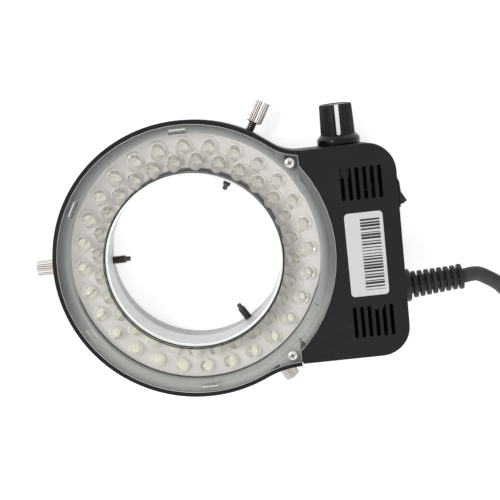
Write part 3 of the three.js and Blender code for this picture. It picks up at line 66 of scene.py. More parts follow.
# Camera
LENS = 70
SENSOR_WIDTH = 36
CLIP_START = 0.01
CLIP_END = 20
CAMERA_RIGHT = (0.99315, -0.11492, -0.02132)
CAMERA_UP = (0.10814, 0.97268, -0.20541)
CAMERA_BACK = (0.04434, 0.20170, 0.97844)
CAMERA_PLACE = (0.03787 + RING_AXIS_X, 0.0760, 0.38515)


def make_camera():
    """Camera fitted to the photograph's ring, box, slots and screws."""
    view = bpy.data.cameras.new("camera")
    view.lens = LENS
    view.sensor_width = SENSOR_WIDTH
    view.clip_start = CLIP_START
    view.clip_end = CLIP_END
    scene.camera = add_object("camera", view)
    axes = ((*CAMERA_RIGHT, 0), (*CAMERA_UP, 0), (*CAMERA_BACK, 0), (*CAMERA_PLACE, 1))
    scene.camera.matrix_world = Matrix(axes).transposed()


make_camera()


# Colours and shared effects
def tone(red, green=None, blue=None):
    """A colour from its levels in a picture, 0 to 255; one level alone gives a grey."""
    levels = (red, red if green is None else green, red if blue is None else blue)
    return tuple(v / 255 / 12.92 if v < 11 else ((v / 255 + 0.055) / 1.055) ** 2.4 for v in levels) + (1,)


def feed(tree, socket, value):
    """Gives a socket a number or colour, or links another node's output to it."""
    if isinstance(value, bpy.types.NodeSocket):
        tree.links.new(value, socket)
    else:
        socket.default_value = value


def put(tree, kind, sockets=None, **settings):
    """Adds a node with its settings and with what feeds its sockets."""
    node = tree.nodes.new(kind)
    for key, value in settings.items():
        setattr(node, key, value)
    for key, value in (sockets or {}).items():
        feed(tree, node.inputs[key], value)
    return node


def maths(tree, operation, *values):
    node = put(tree, "ShaderNodeMath", operation=operation)
    for socket, value in zip(node.inputs, values):
        feed(tree, socket, value)
    return node.outputs[0]


def blend(tree, share, first, second):
    """Mixes two colours by share and gives the mixed one."""
    return put(tree, "ShaderNodeMix", {0: share, 6: first, 7: second}, data_type="RGBA").outputs[2]


def squared_sum(tree, first, second):
    return maths(tree, "ADD", maths(tree, "MULTIPLY", first, first), maths(tree, "MULTIPLY", second, second))


def effect(name, inputs, outputs):
    """Starts a node group and gives it with what goes into it and the sockets it puts out."""
    tree = bpy.data.node_groups.new(name, "ShaderNodeTree")
    for label, kind, value in inputs:
        socket = tree.interface.new_socket(name=label, in_out="INPUT", socket_type=kind)
        if value is not None:
            socket.default_value = value
    for label, kind in outputs:
        tree.interface.new_socket(name=label, in_out="OUTPUT", socket_type=kind)
    return tree, tree.nodes.new("NodeGroupInput").outputs, tree.nodes.new("NodeGroupOutput").inputs


def make_moulded_grain():
    """Fine spark-eroded grain of a moulded face."""
    tree, given, out = effect("moulded grain", [
        ("Vector", "NodeSocketVector", None), ("Scale", "NodeSocketFloat", 1500),
    ], [("Height", "NodeSocketFloat")])
    fine = put(tree, "ShaderNodeTexNoise", {
        "Vector": given["Vector"], "Scale": given["Scale"], "Detail": 3, "Roughness": 0.65,
    })
    pits = put(tree, "ShaderNodeTexVoronoi", {
        "Vector": given["Vector"], "Scale": maths(tree, "MULTIPLY", given["Scale"], 0.7),
    }, feature="SMOOTH_F1")
    shallow = maths(tree, "MULTIPLY", pits.outputs["Distance"], 0.5)
    tree.links.new(maths(tree, "ADD", fine.outputs["Fac"], shallow), out["Height"])
    return tree


def make_handling():
    """Faint cloudy marks that handling leaves: they shift a finish's colour and roughness."""
    tree, given, out = effect("handling marks", [
        ("Vector", "NodeSocketVector", None), ("Colour", "NodeSocketColor", (0.5, 0.5, 0.5, 1)),
        ("Marked Colour", "NodeSocketColor", (0.5, 0.5, 0.5, 1)), ("Roughness", "NodeSocketFloat", 0.5),
        ("Marked Roughness", "NodeSocketFloat", 0.4), ("Scale", "NodeSocketFloat", 90),
    ], [("Colour", "NodeSocketColor"), ("Roughness", "NodeSocketFloat")])
    clouds = put(tree, "ShaderNodeTexNoise", {
        "Vector": given["Vector"], "Scale": given["Scale"], "Detail": 5, "Roughness": 0.6, "Distortion": 0.4,
    })
    specks = put(tree, "ShaderNodeTexNoise", {
        "Vector": given["Vector"], "Scale": maths(tree, "MULTIPLY", given["Scale"], 7), "Detail": 2,
    })
    mixed = maths(tree, "ADD", maths(tree, "MULTIPLY", clouds.outputs["Fac"], 0.75),
                  maths(tree, "MULTIPLY", specks.outputs["Fac"], 0.25))
    mask = put(tree, "ShaderNodeMapRange", {
        "Value": mixed, "From Min": 0.52, "From Max": 0.74,
    }, interpolation_type="SMOOTHSTEP").outputs[0]
    tree.links.new(blend(tree, mask, given["Colour"], given["Marked Colour"]), out["Colour"])
    rough = put(tree, "ShaderNodeMapRange", {
        "Value": mask, "To Min": given["Roughness"], "To Max": given["Marked Roughness"],
    })
    tree.links.new(rough.outputs[0], out["Roughness"])
    return tree


def make_turned_lines():
    """Lathe lines round the Z axis of the vector: a height and a light and dark shade."""
    tree, given, out = effect("turned lines", [
        ("Vector", "NodeSocketVector", None), ("Scale", "NodeSocketFloat", 3000),
    ], [("Height", "NodeSocketFloat"), ("Shade", "NodeSocketFloat")])
    split = put(tree, "ShaderNodeSeparateXYZ", {0: given["Vector"]})
    radius = maths(tree, "SQRT", squared_sum(tree, split.outputs[0], split.outputs[1]))
    place = put(tree, "ShaderNodeCombineXYZ", {0: radius, 2: split.outputs[2]})
    lines = put(tree, "ShaderNodeTexNoise", {
        "Vector": place.outputs[0], "Scale": given["Scale"], "Detail": 2, "Roughness": 0.5,
    })
    tree.links.new(lines.outputs["Fac"], out["Height"])
    shade = put(tree, "ShaderNodeMapRange", {"Value": lines.outputs["Fac"], "From Min": 0.3, "From Max": 0.7})
    tree.links.new(shade.outputs[0], out["Shade"])
    return tree


GRAIN = make_moulded_grain()
HANDLING = make_handling()
TURNED = make_turned_lines()
METAL_MARK_SCALE = 120
LATHE_LINE_DEPTH = 0.000004
CLEAR_RIPPLE_DEPTH = 0.000002
TRIM_GRAIN_DEPTH = 0.00002
PAPER_FIBRE_DEPTH = 0.000008


def blank_finish(name):
    """An empty material, its tree, the object coordinates and the socket that its surface goes to."""
    finish = bpy.data.materials.new(name)
    finish.use_nodes = True
    tree = finish.node_tree
    tree.nodes.clear()
    where = put(tree, "ShaderNodeTexCoord").outputs["Object"]
    return finish, tree, where, put(tree, "ShaderNodeOutputMaterial").inputs["Surface"]


def use_effect(tree, group, sockets):
    return put(tree, "ShaderNodeGroup", sockets, node_tree=group).outputs


def handled(tree, where, colours, roughnesses, scale):
    """Handling marks that lead from the first colour and roughness to the second of each."""
    return use_effect(tree, HANDLING, {
        "Vector": where, "Colour": colours[0], "Marked Colour": colours[1], "Roughness": roughnesses[0],
        "Marked Roughness": roughnesses[1], "Scale": scale,
    })


def coated(tree, colour, roughness, height, depth, **more):
    """Principled surface with a bump; more sockets go by their names in small letters."""
    bump = put(tree, "ShaderNodeBump", {"Height": height, "Distance": depth, "Strength": 1.0})
    sockets = {key.replace("_", " ").title().replace("Ior", "IOR"): value for key, value in more.items()}
    return put(tree, "ShaderNodeBsdfPrincipled", {
        "Base Color": colour, "Roughness": roughness, "Normal": bump.outputs[0], **sockets,
    }).outputs[0]


def moulded(name, colour, marked, roughness, marked_roughness, grain=1500, depth=0.00002, scale=90, **more):
    """Moulded or painted surface with handling marks and fine grain."""
    finish, tree, where, surface = blank_finish(name)
    marks = handled(tree, where, (colour, marked), (roughness, marked_roughness), scale)
    height = use_effect(tree, GRAIN, {"Vector": where, "Scale": grain})["Height"]
    tree.links.new(coated(tree, marks["Colour"], marks["Roughness"], height, depth, **more), surface)
    return finish


def turned_metal(name, colour, shaded, roughness, marked_roughness, lines=3000, centre=(0, 0, 0)):
    """Metal with lathe lines round an upright axis through centre."""
    finish, tree, where, surface = blank_finish(name)
    local = put(tree, "ShaderNodeMapping", {"Vector": where, "Location": centre}, vector_type="TEXTURE")
    turned = use_effect(tree, TURNED, {"Vector": local.outputs[0], "Scale": lines})
    marks = handled(tree, where, (colour, shaded), (roughness, marked_roughness), METAL_MARK_SCALE)
    tint = blend(tree, maths(tree, "MULTIPLY", turned["Shade"], 0.5), marks["Colour"], shaded)
    shader = coated(tree, tint, marks["Roughness"], turned["Height"], LATHE_LINE_DEPTH, metallic=1.0)
    tree.links.new(shader, surface)
    return finish


def clear(name, colour, roughness, ior):
    """Clear moulding: it refracts what is behind it, and lets lamp light through to what it covers."""
    finish, tree, where, surface = blank_finish(name)
    waves = put(tree, "ShaderNodeTexNoise", {"Vector": where, "Scale": 160, "Detail": 2}).outputs["Fac"]
    smears = put(tree, "ShaderNodeMapRange", {"Value": waves, "To Min": roughness, "To Max": roughness * 2})
    glass = coated(tree, colour, smears.outputs[0], waves, CLEAR_RIPPLE_DEPTH, transmission_weight=1.0,
                   ior=ior)
    through = put(tree, "ShaderNodeBsdfTransparent", {"Color": colour})
    path = put(tree, "ShaderNodeLightPath").outputs
    open_ray = maths(tree, "MAXIMUM", path["Is Shadow Ray"], path["Is Diffuse Ray"])
    mixed = put(tree, "ShaderNodeMixShader", {0: open_ray, 1: glass, 2: through.outputs[0]})
    tree.links.new(mixed.outputs[0], surface)
    return finish


def ring_coordinates(tree, where):
    """Radius from the ring's axis and place along Y, in metres."""
    split = put(tree, "ShaderNodeSeparateXYZ", {0: where}).outputs
    x = maths(tree, "SUBTRACT", split[0], RING_AXIS_X)
    return maths(tree, "SQRT", squared_sum(tree, x, split[1])), split[1]


def graded(name, share_of, near, near_marked, far, far_marked):
    """Plastic in its own colour that blends into a painted shade by a share worked out from its place."""
    finish, tree, where, surface = blank_finish(name)
    share = share_of(tree, where)
    colours = blend(tree, share, near, far), blend(tree, share, near_marked, far_marked)
    marks = handled(tree, where, colours, (0.55, 0.65), 70)
    height = use_effect(tree, GRAIN, {"Vector": where, "Scale": 1300})["Height"]
    tree.links.new(coated(tree, marks["Colour"], marks["Roughness"], height, TRIM_GRAIN_DEPTH), surface)
    return finish


def step_share(tree, value, first, last):
    """Rises smoothly from none at first to one at last, both in millimetres."""
    return put(tree, "ShaderNodeMapRange", {
        "Value": value, "From Min": first * MM, "From Max": last * MM,
    }, interpolation_type="SMOOTHSTEP").outputs[0]


def rim_and_ear_shade_share(tree, where):
    """Share of painted shade: rises towards the rim on the upper half of the trim's ring, standing in for the
    rim's shadow, and out on the ears, in their shade.
    """
    rim_from, rim_to, most_at_rim = 47.4, 51.4, 0.85
    lower_part, upper_part = -36, -2
    ears_from, ears_to = 51, 56
    radius, up = ring_coordinates(tree, where)
    rim = maths(tree, "MULTIPLY", step_share(tree, radius, rim_from, rim_to),
                step_share(tree, up, lower_part, upper_part))
    return maths(tree, "MAXIMUM", maths(tree, "MULTIPLY", rim, most_at_rim),
                 step_share(tree, radius, ears_from, ears_to))


def lower_half_shade_share(tree, where):
    """Share of painted shade: none on the upper half of the ring, rising to one below it."""
    starts, ends = -8, -14
    return step_share(tree, ring_coordinates(tree, where)[1], starts, ends)


def label_paper():
    """White label with a made-up bar pattern on its right half."""
    finish, tree, where, surface = blank_finish("label paper")
    low, high = node_box("label")
    left_margin, right_margin, end_margin = 5.7, 1.3, 2.2
    bars_per_mm, thinnest, thicker = 0.86, 0.26, 0.56
    split = put(tree, "ShaderNodeSeparateXYZ", {0: where})
    x = maths(tree, "DIVIDE", maths(tree, "SUBTRACT", split.outputs[0], RING_AXIS_X), MM)
    y = maths(tree, "DIVIDE", split.outputs[1], MM)

    def between(value, first, last):
        return maths(tree, "MULTIPLY", maths(tree, "GREATER_THAN", value, first),
                     maths(tree, "LESS_THAN", value, last))

    field = maths(tree, "MULTIPLY", between(x, low[0] + left_margin, high[0] - right_margin),
                  between(y, low[1] + end_margin, high[1] - end_margin))
    step = maths(tree, "MULTIPLY_ADD", y, bars_per_mm, 0.5)
    cells = put(tree, "ShaderNodeTexWhiteNoise", {"W": maths(tree, "FLOOR", step)}, noise_dimensions="1D")
    width = maths(tree, "MULTIPLY_ADD", cells.outputs[0], thicker, thinnest)
    bars = maths(tree, "MULTIPLY", field, maths(tree, "LESS_THAN", maths(tree, "FRACT", step), width))
    fibre = put(tree, "ShaderNodeTexNoise", {"Vector": where, "Scale": 2500, "Detail": 4}).outputs["Fac"]
    paper = blend(tree, fibre, tone(214, 216, 215), tone(226, 228, 226))
    inked = blend(tree, bars, paper, tone(20, 20, 22))
    tree.links.new(coated(tree, inked, 0.45, fibre, PAPER_FIBRE_DEPTH), surface)
    return finish


BLACK = moulded("black plastic", tone(25, 25, 26), tone(35, 35, 36), roughness=0.46, marked_roughness=0.58,
                grain=1700, depth=0.000014, specular_ior_level=0.2)
GLOSS_BLACK = moulded("gloss black plastic", tone(24), tone(34), roughness=0.16, marked_roughness=0.3,
                      grain=2400, depth=0.000002, specular_ior_level=0.4)
KNOB_BLACK = moulded("knob plastic", tone(20), tone(30), roughness=0.34, marked_roughness=0.46, grain=2200,
                     depth=0.000006, specular_ior_level=0.22)
KNOB_GLOSS = moulded("knob skirt", tone(16), tone(24), roughness=0.16, marked_roughness=0.24, grain=2400,
                     depth=0.000002, specular_ior_level=0.2)
CLEAR = clear("clear cover", (0.985, 0.985, 0.98, 1), roughness=0.02, ior=1.49)
RESIN = clear("clear resin", (0.985, 0.98, 0.965, 1), roughness=0.03, ior=1.5)
# Painted highlights for the edges of the clear cover and its snap tabs.
TAB_EDGE_HIGHLIGHT = moulded("tab edge painted highlight", tone(250, 250, 246), tone(236, 236, 230), roughness=0.3,
                     marked_roughness=0.4, grain=2400, depth=0.000006)
CLEAR_EDGE_HIGHLIGHT = moulded("clear edge painted highlight", tone(206, 206, 202), tone(190, 190, 186), roughness=0.4,
                   marked_roughness=0.5, grain=2400, depth=0.000006)
# Painted highlight for the rims of the clear LED flanges.
FLANGE_HIGHLIGHT = moulded("resin flange painted highlight", tone(255, 255, 254), tone(252, 252, 250), roughness=0.2,
                 marked_roughness=0.3, grain=2400, depth=0.000006)
PHOSPHOR = moulded("phosphor", tone(245, 246, 224), tone(232, 235, 200), roughness=0.6,
                   marked_roughness=0.7, grain=4000, depth=0.00002, scale=700)
LEAD_FRAME = moulded("lead frame", tone(232, 228, 222), tone(214, 210, 204), roughness=0.4,
                     marked_roughness=0.5, grain=3000, depth=0.000004)
LABEL = label_paper()
ZINC = turned_metal("zinc steel", tone(236, 234, 229), tone(176, 173, 166), roughness=0.25,
                    marked_roughness=0.42)
# The trim's and the cove's second colours are painted shade, towards the rim on the ring's upper half and out
# on the ears.
TRIM = graded("grey trim with painted shade", rim_and_ear_shade_share, tone(184, 184, 181), tone(172, 172, 169), tone(104), tone(90))
TRIM_COVE = graded("trim cove with painted shade", rim_and_ear_shade_share, tone(184, 184, 181), tone(172, 172, 169), tone(70), tone(58))
# Painted shade on the step's lip, on the lower half of the ring.
TRIM_LIP_SHADE = graded("trim step painted shade", lower_half_shade_share, tone(190, 187, 184), tone(182, 178, 176), tone(20), tone(16))
CARRIER = moulded("carrier white", tone(247, 243, 240), tone(240, 233, 231), roughness=0.6,
                  marked_roughness=0.7, grain=1300, depth=0.00002, scale=60)
COLLAR = turned_metal("collar aluminium", tone(214, 215, 214), tone(190, 191, 191), roughness=0.5,
                      marked_roughness=0.6, lines=1600, centre=(RING_AXIS_X, 0, 0))
# Lit and shaded copies of the collar's aluminium: a painted highlight for its front lip, and painted shade
# for its seat, rear flange and groove.
COLLAR_LIP_HIGHLIGHT = turned_metal("collar rim painted highlight", tone(248, 248, 247), tone(228), roughness=0.2, marked_roughness=0.3,
                          lines=1600, centre=(RING_AXIS_X, 0, 0))
COLLAR_PAINTED_SHADE = turned_metal("collar seat painted shade", tone(156, 156, 155), tone(128), roughness=0.3,
                          marked_roughness=0.42, lines=1600, centre=(RING_AXIS_X, 0, 0))
BARE = turned_metal("bare aluminium", tone(200, 200, 199), tone(160), roughness=0.35, marked_roughness=0.5)
DARK_STEEL = turned_metal("dark steel", tone(96, 90, 86), tone(52, 49, 47), roughness=0.32,
                          marked_roughness=0.45)
# Painted highlight on the thread crests: a lit copy of the dark steel.
CREST_HIGHLIGHT = turned_metal("thread crests", tone(168, 158, 150), tone(120, 113, 107), roughness=0.3,
                           marked_roughness=0.42)
NICKEL = turned_metal("nickel", tone(246, 240, 233), tone(222, 215, 208), roughness=0.3,
                      marked_roughness=0.42)
# Painted shade in the knurl's grooves and on the cross recesses' floors.
RECESS_SHADE = turned_metal("recess painted shade", tone(172, 164, 157), tone(136, 129, 123), roughness=0.4,
                          marked_roughness=0.5)
WHITE_INLAY = moulded("white inlay", tone(252), tone(244), roughness=0.5, marked_roughness=0.6, grain=2200,
                      depth=0.000006)
BRASS = turned_metal("brass", tone(212, 178, 104), tone(150, 118, 60), roughness=0.3, marked_roughness=0.45)
BOARD_GREEN = moulded("board green", tone(20, 62, 38), tone(30, 76, 48), roughness=0.35,
                      marked_roughness=0.5, grain=900, depth=0.00001, scale=400)
# Tape and lead sleeve colours are darkened as painted shade for the inside of the box.
COPPER_TAPE = moulded("transformer tape", tone(58, 48, 26), tone(48, 38, 20), roughness=0.35,
                      marked_roughness=0.5, grain=900, depth=0.00001, scale=300)
CAPACITOR = moulded("capacitor sleeve", tone(34, 50, 104), tone(48, 64, 118), roughness=0.3,
                    marked_roughness=0.4, grain=1600, depth=0.000006)
LEAD_RED = moulded("lead sleeve", tone(34, 14, 13), tone(28, 12, 11), roughness=0.4, marked_roughness=0.5,
                   grain=1600, depth=0.000008)
CORD_BLACK = moulded("cord sheath", tone(52, 52, 54), tone(70, 70, 72), roughness=0.48,
                     marked_roughness=0.6, grain=1500, depth=0.00002, scale=160, specular_ior_level=0.35)
RELIEF = moulded("relief rubber", tone(27), tone(42), roughness=0.42, marked_roughness=0.56, grain=1400,
                 depth=0.00002, specular_ior_level=0.35)
PLUG = moulded("plug plastic", tone(30), tone(44), roughness=0.4, marked_roughness=0.52, grain=1500,
               depth=0.000015, specular_ior_level=0.3)


# Shape tools
def lathe(profile, sides=48, closed=False):
    """A profile of (radius, height) pairs, spun about Z."""
    shape = bmesh.new()
    points = [shape.verts.new((radius, 0, height)) for radius, height in profile]
    for first, second in zip(points, points[1:]):
        shape.edges.new((first, second))
    if closed:
        shape.edges.new((points[-1], points[0]))
    bmesh.ops.spin(shape, geom=shape.verts[:] + shape.edges[:], cent=(0, 0, 0), axis=(0, 0, 1),
                   angle=FULL_TURN, steps=sides, use_merge=True)
    bmesh.ops.remove_doubles(shape, verts=shape.verts[:], dist=0.0001)
    bmesh.ops.recalc_face_normals(shape, faces=shape.faces[:])
    return shape


def block(low, high):
    """A block between its lowest and its highest corner."""
    shape = bmesh.new()
    middle = [(a + b) / 2 for a, b in zip(low, high)]
    size = [b - a for a, b in zip(low, high)]
    bmesh.ops.create_cube(shape, size=1, matrix=Matrix.Translation(middle) @ Matrix.Diagonal((*size, 1)))
    return shape


def rounded(shape, geom, offset, segments, affect="EDGES"):
    bmesh.ops.bevel(shape, geom=geom, offset=offset, affect=affect, segments=segments, profile=0.5,
                    material=-1)


def drawn_out(shape, edges):
    """Extrudes edges where they are, and gives the new corners and the new edges."""
    grown = bmesh.ops.extrude_edge_only(shape, edges=edges)["geom"]
    verts = [item for item in grown if isinstance(item, bmesh.types.BMVert)]
    return verts, [item for item in grown if isinstance(item, bmesh.types.BMEdge)]


def set_radius(vert, radius):
    """Moves a corner straight to this distance from the Z axis."""
    flat = Vector((vert.co.x, vert.co.y, 0)).normalized() * radius
    vert.co.x, vert.co.y = flat.x, flat.y


def heading_of(vert):
    return math.atan2(vert.co.y, vert.co.x)


def radius_of(face):
    middle = face.calc_center_median()
    return math.hypot(middle.x, middle.y)


def height_of(face):
    return face.calc_center_median().z


def mesh_of(shape, name):
    """Turns a shape into a mesh and frees it."""
    mesh = bpy.data.meshes.new(name)
    shape.to_mesh(mesh)
    shape.free()
    return mesh


def node_shape(node):
    """A merged copy of a CAD node's mesh, which comes as loose triangles."""
    shape = bmesh.new()
    shape.from_mesh(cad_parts[node].data)
    bmesh.ops.remove_doubles(shape, verts=shape.verts[:], dist=0.000002)
    return shape


def join(shape, part, matrix=None, finish=None):
    """Adds part to shape, moved by matrix; finish is the number of its material on the piece."""
    if matrix is not None:
        part.transform(matrix)
    if finish is not None:
        for face in part.faces:
            face.material_index = finish
    mesh = mesh_of(part, "part")
    shape.from_mesh(mesh)
    bpy.data.meshes.remove(mesh)


def repeat(shape, count):
    """The shape count times, evenly round the Z axis."""
    bmesh.ops.spin(shape, geom=shape.verts[:] + shape.edges[:] + shape.faces[:], cent=(0, 0, 0),
                   axis=(0, 0, 1), angle=FULL_TURN * (count - 1) / count, steps=count - 1, use_duplicate=True)


def soften(piece, width):
    """Rounds a piece's sharp edges by this width in millimetres."""
    edges = piece.modifiers.new("edges", "BEVEL")
    edges.limit_method = "ANGLE"
    edges.width = width * MM
    edges.segments = 2
    edges.angle_limit = math.radians(40)
    edges.harden_normals = True


def make_piece(name, shape, body, finishes, replaces=(), crease=35, place=PLACE, edge=0.0):
    """Turns a shape into a finished piece that rides on a body."""
    shape.transform(place)
    mesh = mesh_of(shape, name)
    for finish in finishes:
        mesh.materials.append(finish)
    mesh.polygons.foreach_set("use_smooth", [True] * len(mesh.polygons))
    mesh.set_sharp_from_angle(angle=math.radians(crease))
    piece = add_object(name, mesh)
    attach(piece, body)
    if replaces:
        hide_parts(*replaces)
    if edge:
        soften(piece, edge)
    return piece


# Circles that a CAD node draws with chords. The longest chord is a share of its radius and the rest are in
# metres: the farthest radius, how far a chord's two ends may differ in theirs, and the shortest chord.
RING_CIRCLES = {"centre": (RING_AXIS_X, 0), "longest": 0.14, "shortest": 0.0, "reach": 1.0,
                "slack": 0.000002, "cuts": 3}
BOX_CORNER_X = RING_AXIS_X + 0.06773
BOX_CORNERS = [{"centre": (BOX_CORNER_X, y), "longest": 0.36, "shortest": 0.002, "reach": 0.0125,
                "slack": 0.00005, "cuts": 1} for y in (0.0264, -0.03337)]
SAME_HEIGHT = 0.000003
LARGEST_RISE = 0.0002


def rounder(shape, centre, longest, shortest, reach, slack, cuts):
    """Cuts the chords of circles about a centre finer, and moves the new corners out to the circle."""
    def place(vert):
        return math.hypot(vert.co.x - centre[0], vert.co.y - centre[1]), vert.co.z

    chords, levels = [], set()
    for edge in shape.edges:
        (first, low), (second, high) = (place(vert) for vert in edge.verts)
        about_centre = abs(first - second) < slack and abs(low - high) < 2e-6 and first < reach
        if about_centre and shortest < edge.calc_length() < longest * first:
            chords.append(edge)
            levels.add((round(low, 6), first))
    made = bmesh.ops.subdivide_edges(shape, edges=chords, cuts=cuts)["geom_inner"]
    for vert in (item for item in made if isinstance(item, bmesh.types.BMVert)):
        radius, height = place(vert)
        circles = [circle for level, circle in levels
                   if abs(level - height) < SAME_HEIGHT and -1e-6 < circle - radius < LARGEST_RISE]
        if circles:
            grow = min(circles) / radius
            vert.co.x = centre[0] + (vert.co.x - centre[0]) * grow
            vert.co.y = centre[1] + (vert.co.y - centre[1]) * grow


def refined(name, node, body, finish, edge=0.2, ring=False):
    """A merged and softened copy of a CAD node's shape; with ring, its coarse circles are made finer."""
    shape = node_shape(node)
    bmesh.ops.dissolve_limit(shape, angle_limit=math.radians(0.6), verts=shape.verts[:], edges=shape.edges[:])
    if ring:
        for circles in (RING_CIRCLES, *BOX_CORNERS):
            rounder(shape, **circles)
    for face in shape.faces:
        face.material_index = 0
    make_piece(name, shape, body, [finish], (node,), 30, Matrix(), edge)


def dress(finish, *nodes):
    """A CAD node keeps its shape and gets this finish."""
    for node in nodes:
        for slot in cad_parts[node].material_slots:
            slot.material = finish


# Cord, coil, tie and plug
CORD_RADIUS = 2.9
CORD_GAP = 0.3
RELIEF_TILT = math.radians(3.9)
RELIEF_FOOT = Vector((81.793, -21.3, 14))
RELIEF_OUT = Vector((math.cos(RELIEF_TILT), math.sin(RELIEF_TILT), 0))
RELIEF_LENGTH = 20.4
COIL_CENTRE = Vector((172, -22, 0))
COIL_INNER = 23.85
COIL_PITCH = 6.09
COIL_HALF = 3.1875
COIL_LOW = 3.95
COIL_RISE = 6.3
COIL_FLARE = 0.82
COIL_START = math.radians(225)
COIL_STEPS = 48
PLUG_TURN = math.radians(79.75)
PLUG_OUTLINE = (15.8, 20.6)
PLUG_CORNER = 3.2
PLUG_FOOT = 20.2
PLUG_DROP = 2.25
PLUG_FOOT_SHARE = 0.63
PLUG_SHARES_AND_HEIGHTS = ((0.92, 3.2), (1, 6.5), (1, 17), (0.94, 21), (0.9, 25.8))
TAIL_RIBS = 6
TAIL_PITCH = 3.1
TAIL_RADIUS = 3.3
TAIL_GROWTH = 0.27
TIE_INNER = 20.8
TIE_OUTER = 47.28
TIE_LOW = 0.75
TIE_HIGH = 13.45
TIE_THICK = 0.7
TIE_HALF_WIDTH = 2.5
TIE_BEND = 2.4
TIE_TURN = math.radians(-40)


def smooth_run(points, steps=12):
    """Points along a smooth curve through the given ones, closer together where they are close."""
    ends = [2 * points[0] - points[1], *points, 2 * points[-1] - points[-2]]
    run = []
    for a, b, c, d in zip(ends, ends[1:], ends[2:], ends[3:]):
        t0 = 0
        t1 = t0 + (b - a).length ** 0.5
        t2 = t1 + (c - b).length ** 0.5
        t3 = t2 + (d - c).length ** 0.5
        for i in range(steps):
            t = t1 + (t2 - t1) * i / steps
            ab = a.lerp(b, (t - t0) / (t1 - t0))
            bc = b.lerp(c, (t - t1) / (t2 - t1))
            cd = c.lerp(d, (t - t2) / (t3 - t2))
            early = ab.lerp(bc, (t - t0) / (t2 - t0))
            late = bc.lerp(cd, (t - t1) / (t3 - t1))
            run.append(early.lerp(late, (t - t1) / (t2 - t1)))
    return run + [points[-1]]


def coil_point(turn):
    """A place on the coil: inwards in the lower layer, up through the middle, outwards in the upper one."""
    from_middle = turn - COIL_HALF
    flare = max(4 * (from_middle - COIL_HALF) + 1, 0)
    radius = COIL_INNER + COIL_PITCH * abs(from_middle) + COIL_FLARE * flare ** 2
    climb = min(max(from_middle * 2 + 0.5, 0), 1)
    angle = COIL_START + turn * FULL_TURN
    place = Vector((radius * math.cos(angle), radius * math.sin(angle), COIL_LOW + COIL_RISE * climb))
    return COIL_CENTRE + place


def cord_route():
    """Points from the strain relief to the plug, where the plug begins, and which way it points."""
    steps = round(2 * COIL_HALF * COIL_STEPS)
    coil = [coil_point(2 * COIL_HALF * i / steps) for i in range(steps + 1)]
    lead_in = (coil[1] - coil[0]).normalized()
    lead_in.z = 0
    lead_out = Vector((math.cos(PLUG_TURN), math.sin(PLUG_TURN), 0))
    start = coil[0] - lead_in * 2 * CORD_RADIUS
    end = coil[-1] + lead_out * 2 * CORD_RADIUS
    relief_end = RELIEF_FOOT + RELIEF_OUT * RELIEF_LENGTH
    shown = smooth_run([
        relief_end, relief_end + RELIEF_OUT * 2 * CORD_RADIUS,
        Vector((112.6, -22.1, 12.8)), Vector((116.4, -25.0, 11.0)), Vector((120.0, -29.2, 8.7)),
        Vector((123.0, -34.2, 6.4)), start - lead_in * 2 * CORD_RADIUS, start,
    ])
    return shown + coil + [end, end + lead_out * CORD_GAP], end, lead_out


def make_cord():
    route, end, heading = cord_route()
    points = [PLACE @ point for point in route]
    curve = bpy.data.curves.new("mains_lead", "CURVE")
    curve.dimensions = "3D"
    curve.bevel_depth = CORD_RADIUS * MM
    curve.bevel_resolution = 5
    curve.use_fill_caps = True
    line = curve.splines.new("POLY")
    line.points.add(len(points) - 1)
    for point, place in zip(line.points, points):
        point.co = (*place, 1)
    curve.materials.append(CORD_BLACK)
    lead = add_object("mains_lead", curve)
    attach(lead, "housing")
    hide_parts("mains_cord", "cord_coil")
    length = sum((b - a).length for a, b in zip(points, points[1:]))
    return lead, points[0], length, end, heading


def plug_tail():
    """Ribbed tail that widens towards the plug's body."""
    profile = [(3.0, 0.1)]
    for rib in range(TAIL_RIBS):
        low = 0.4 + rib * TAIL_PITCH
        radius = TAIL_RADIUS + TAIL_GROWTH * rib
        profile += [(radius, low), (radius + 0.1, low + 0.2), (radius + 0.15, low + 1.9), (radius, low + 2.1),
                    (radius - 0.5, low + 2.3), (radius - 0.45, low + 2.9)]
    return lathe([*profile, (5.1, 19.2), (5.2, 20.4), (0, 20.4), (0, 0.1)], 32, closed=True)


def plug_body():
    """Body with rounded sides, drawn out from its foot to shares of its widest outline."""
    body = bmesh.new()
    bmesh.ops.create_grid(body, x_segments=1, y_segments=1, size=0.5)
    body.transform(Matrix.Diagonal((*PLUG_OUTLINE, 1, 1)))
    rounded(body, body.verts[:], PLUG_CORNER, 5, "VERTICES")
    body.transform(Matrix.Translation((PLUG_DROP, 0, PLUG_FOOT)) @ Matrix.Scale(PLUG_FOOT_SHARE, 4))
    share = PLUG_FOOT_SHARE
    for wider, height in PLUG_SHARES_AND_HEIGHTS:
        grown = bmesh.ops.extrude_face_region(body, geom=[max(body.faces, key=height_of)])["geom"]
        for vert in (item for item in grown if isinstance(item, bmesh.types.BMVert)):
            vert.co.x = PLUG_DROP + (vert.co.x - PLUG_DROP) * wider / share
            vert.co.y *= wider / share
            vert.co.z = PLUG_FOOT + height
        share = wider
    bmesh.ops.remove_doubles(body, verts=body.verts[:], dist=0.001)
    bmesh.ops.recalc_face_normals(body, faces=body.faces[:])
    return body


def make_plug(end, heading):
    """Two-pin plug with its tail, drawn along Z from the end of its lead and lying on its wide side."""
    turn = Matrix.Rotation(math.atan2(heading.y, heading.x), 4, "Z")
    lie = Matrix.Translation(end + heading * CORD_GAP) @ turn @ Z_TO_X
    shape = plug_tail()
    join(shape, plug_body())
    return make_piece("mains_plug", shape, "housing", [PLUG], ("plug_body",), 40, PLACE @ lie,
                      edge=0.5)


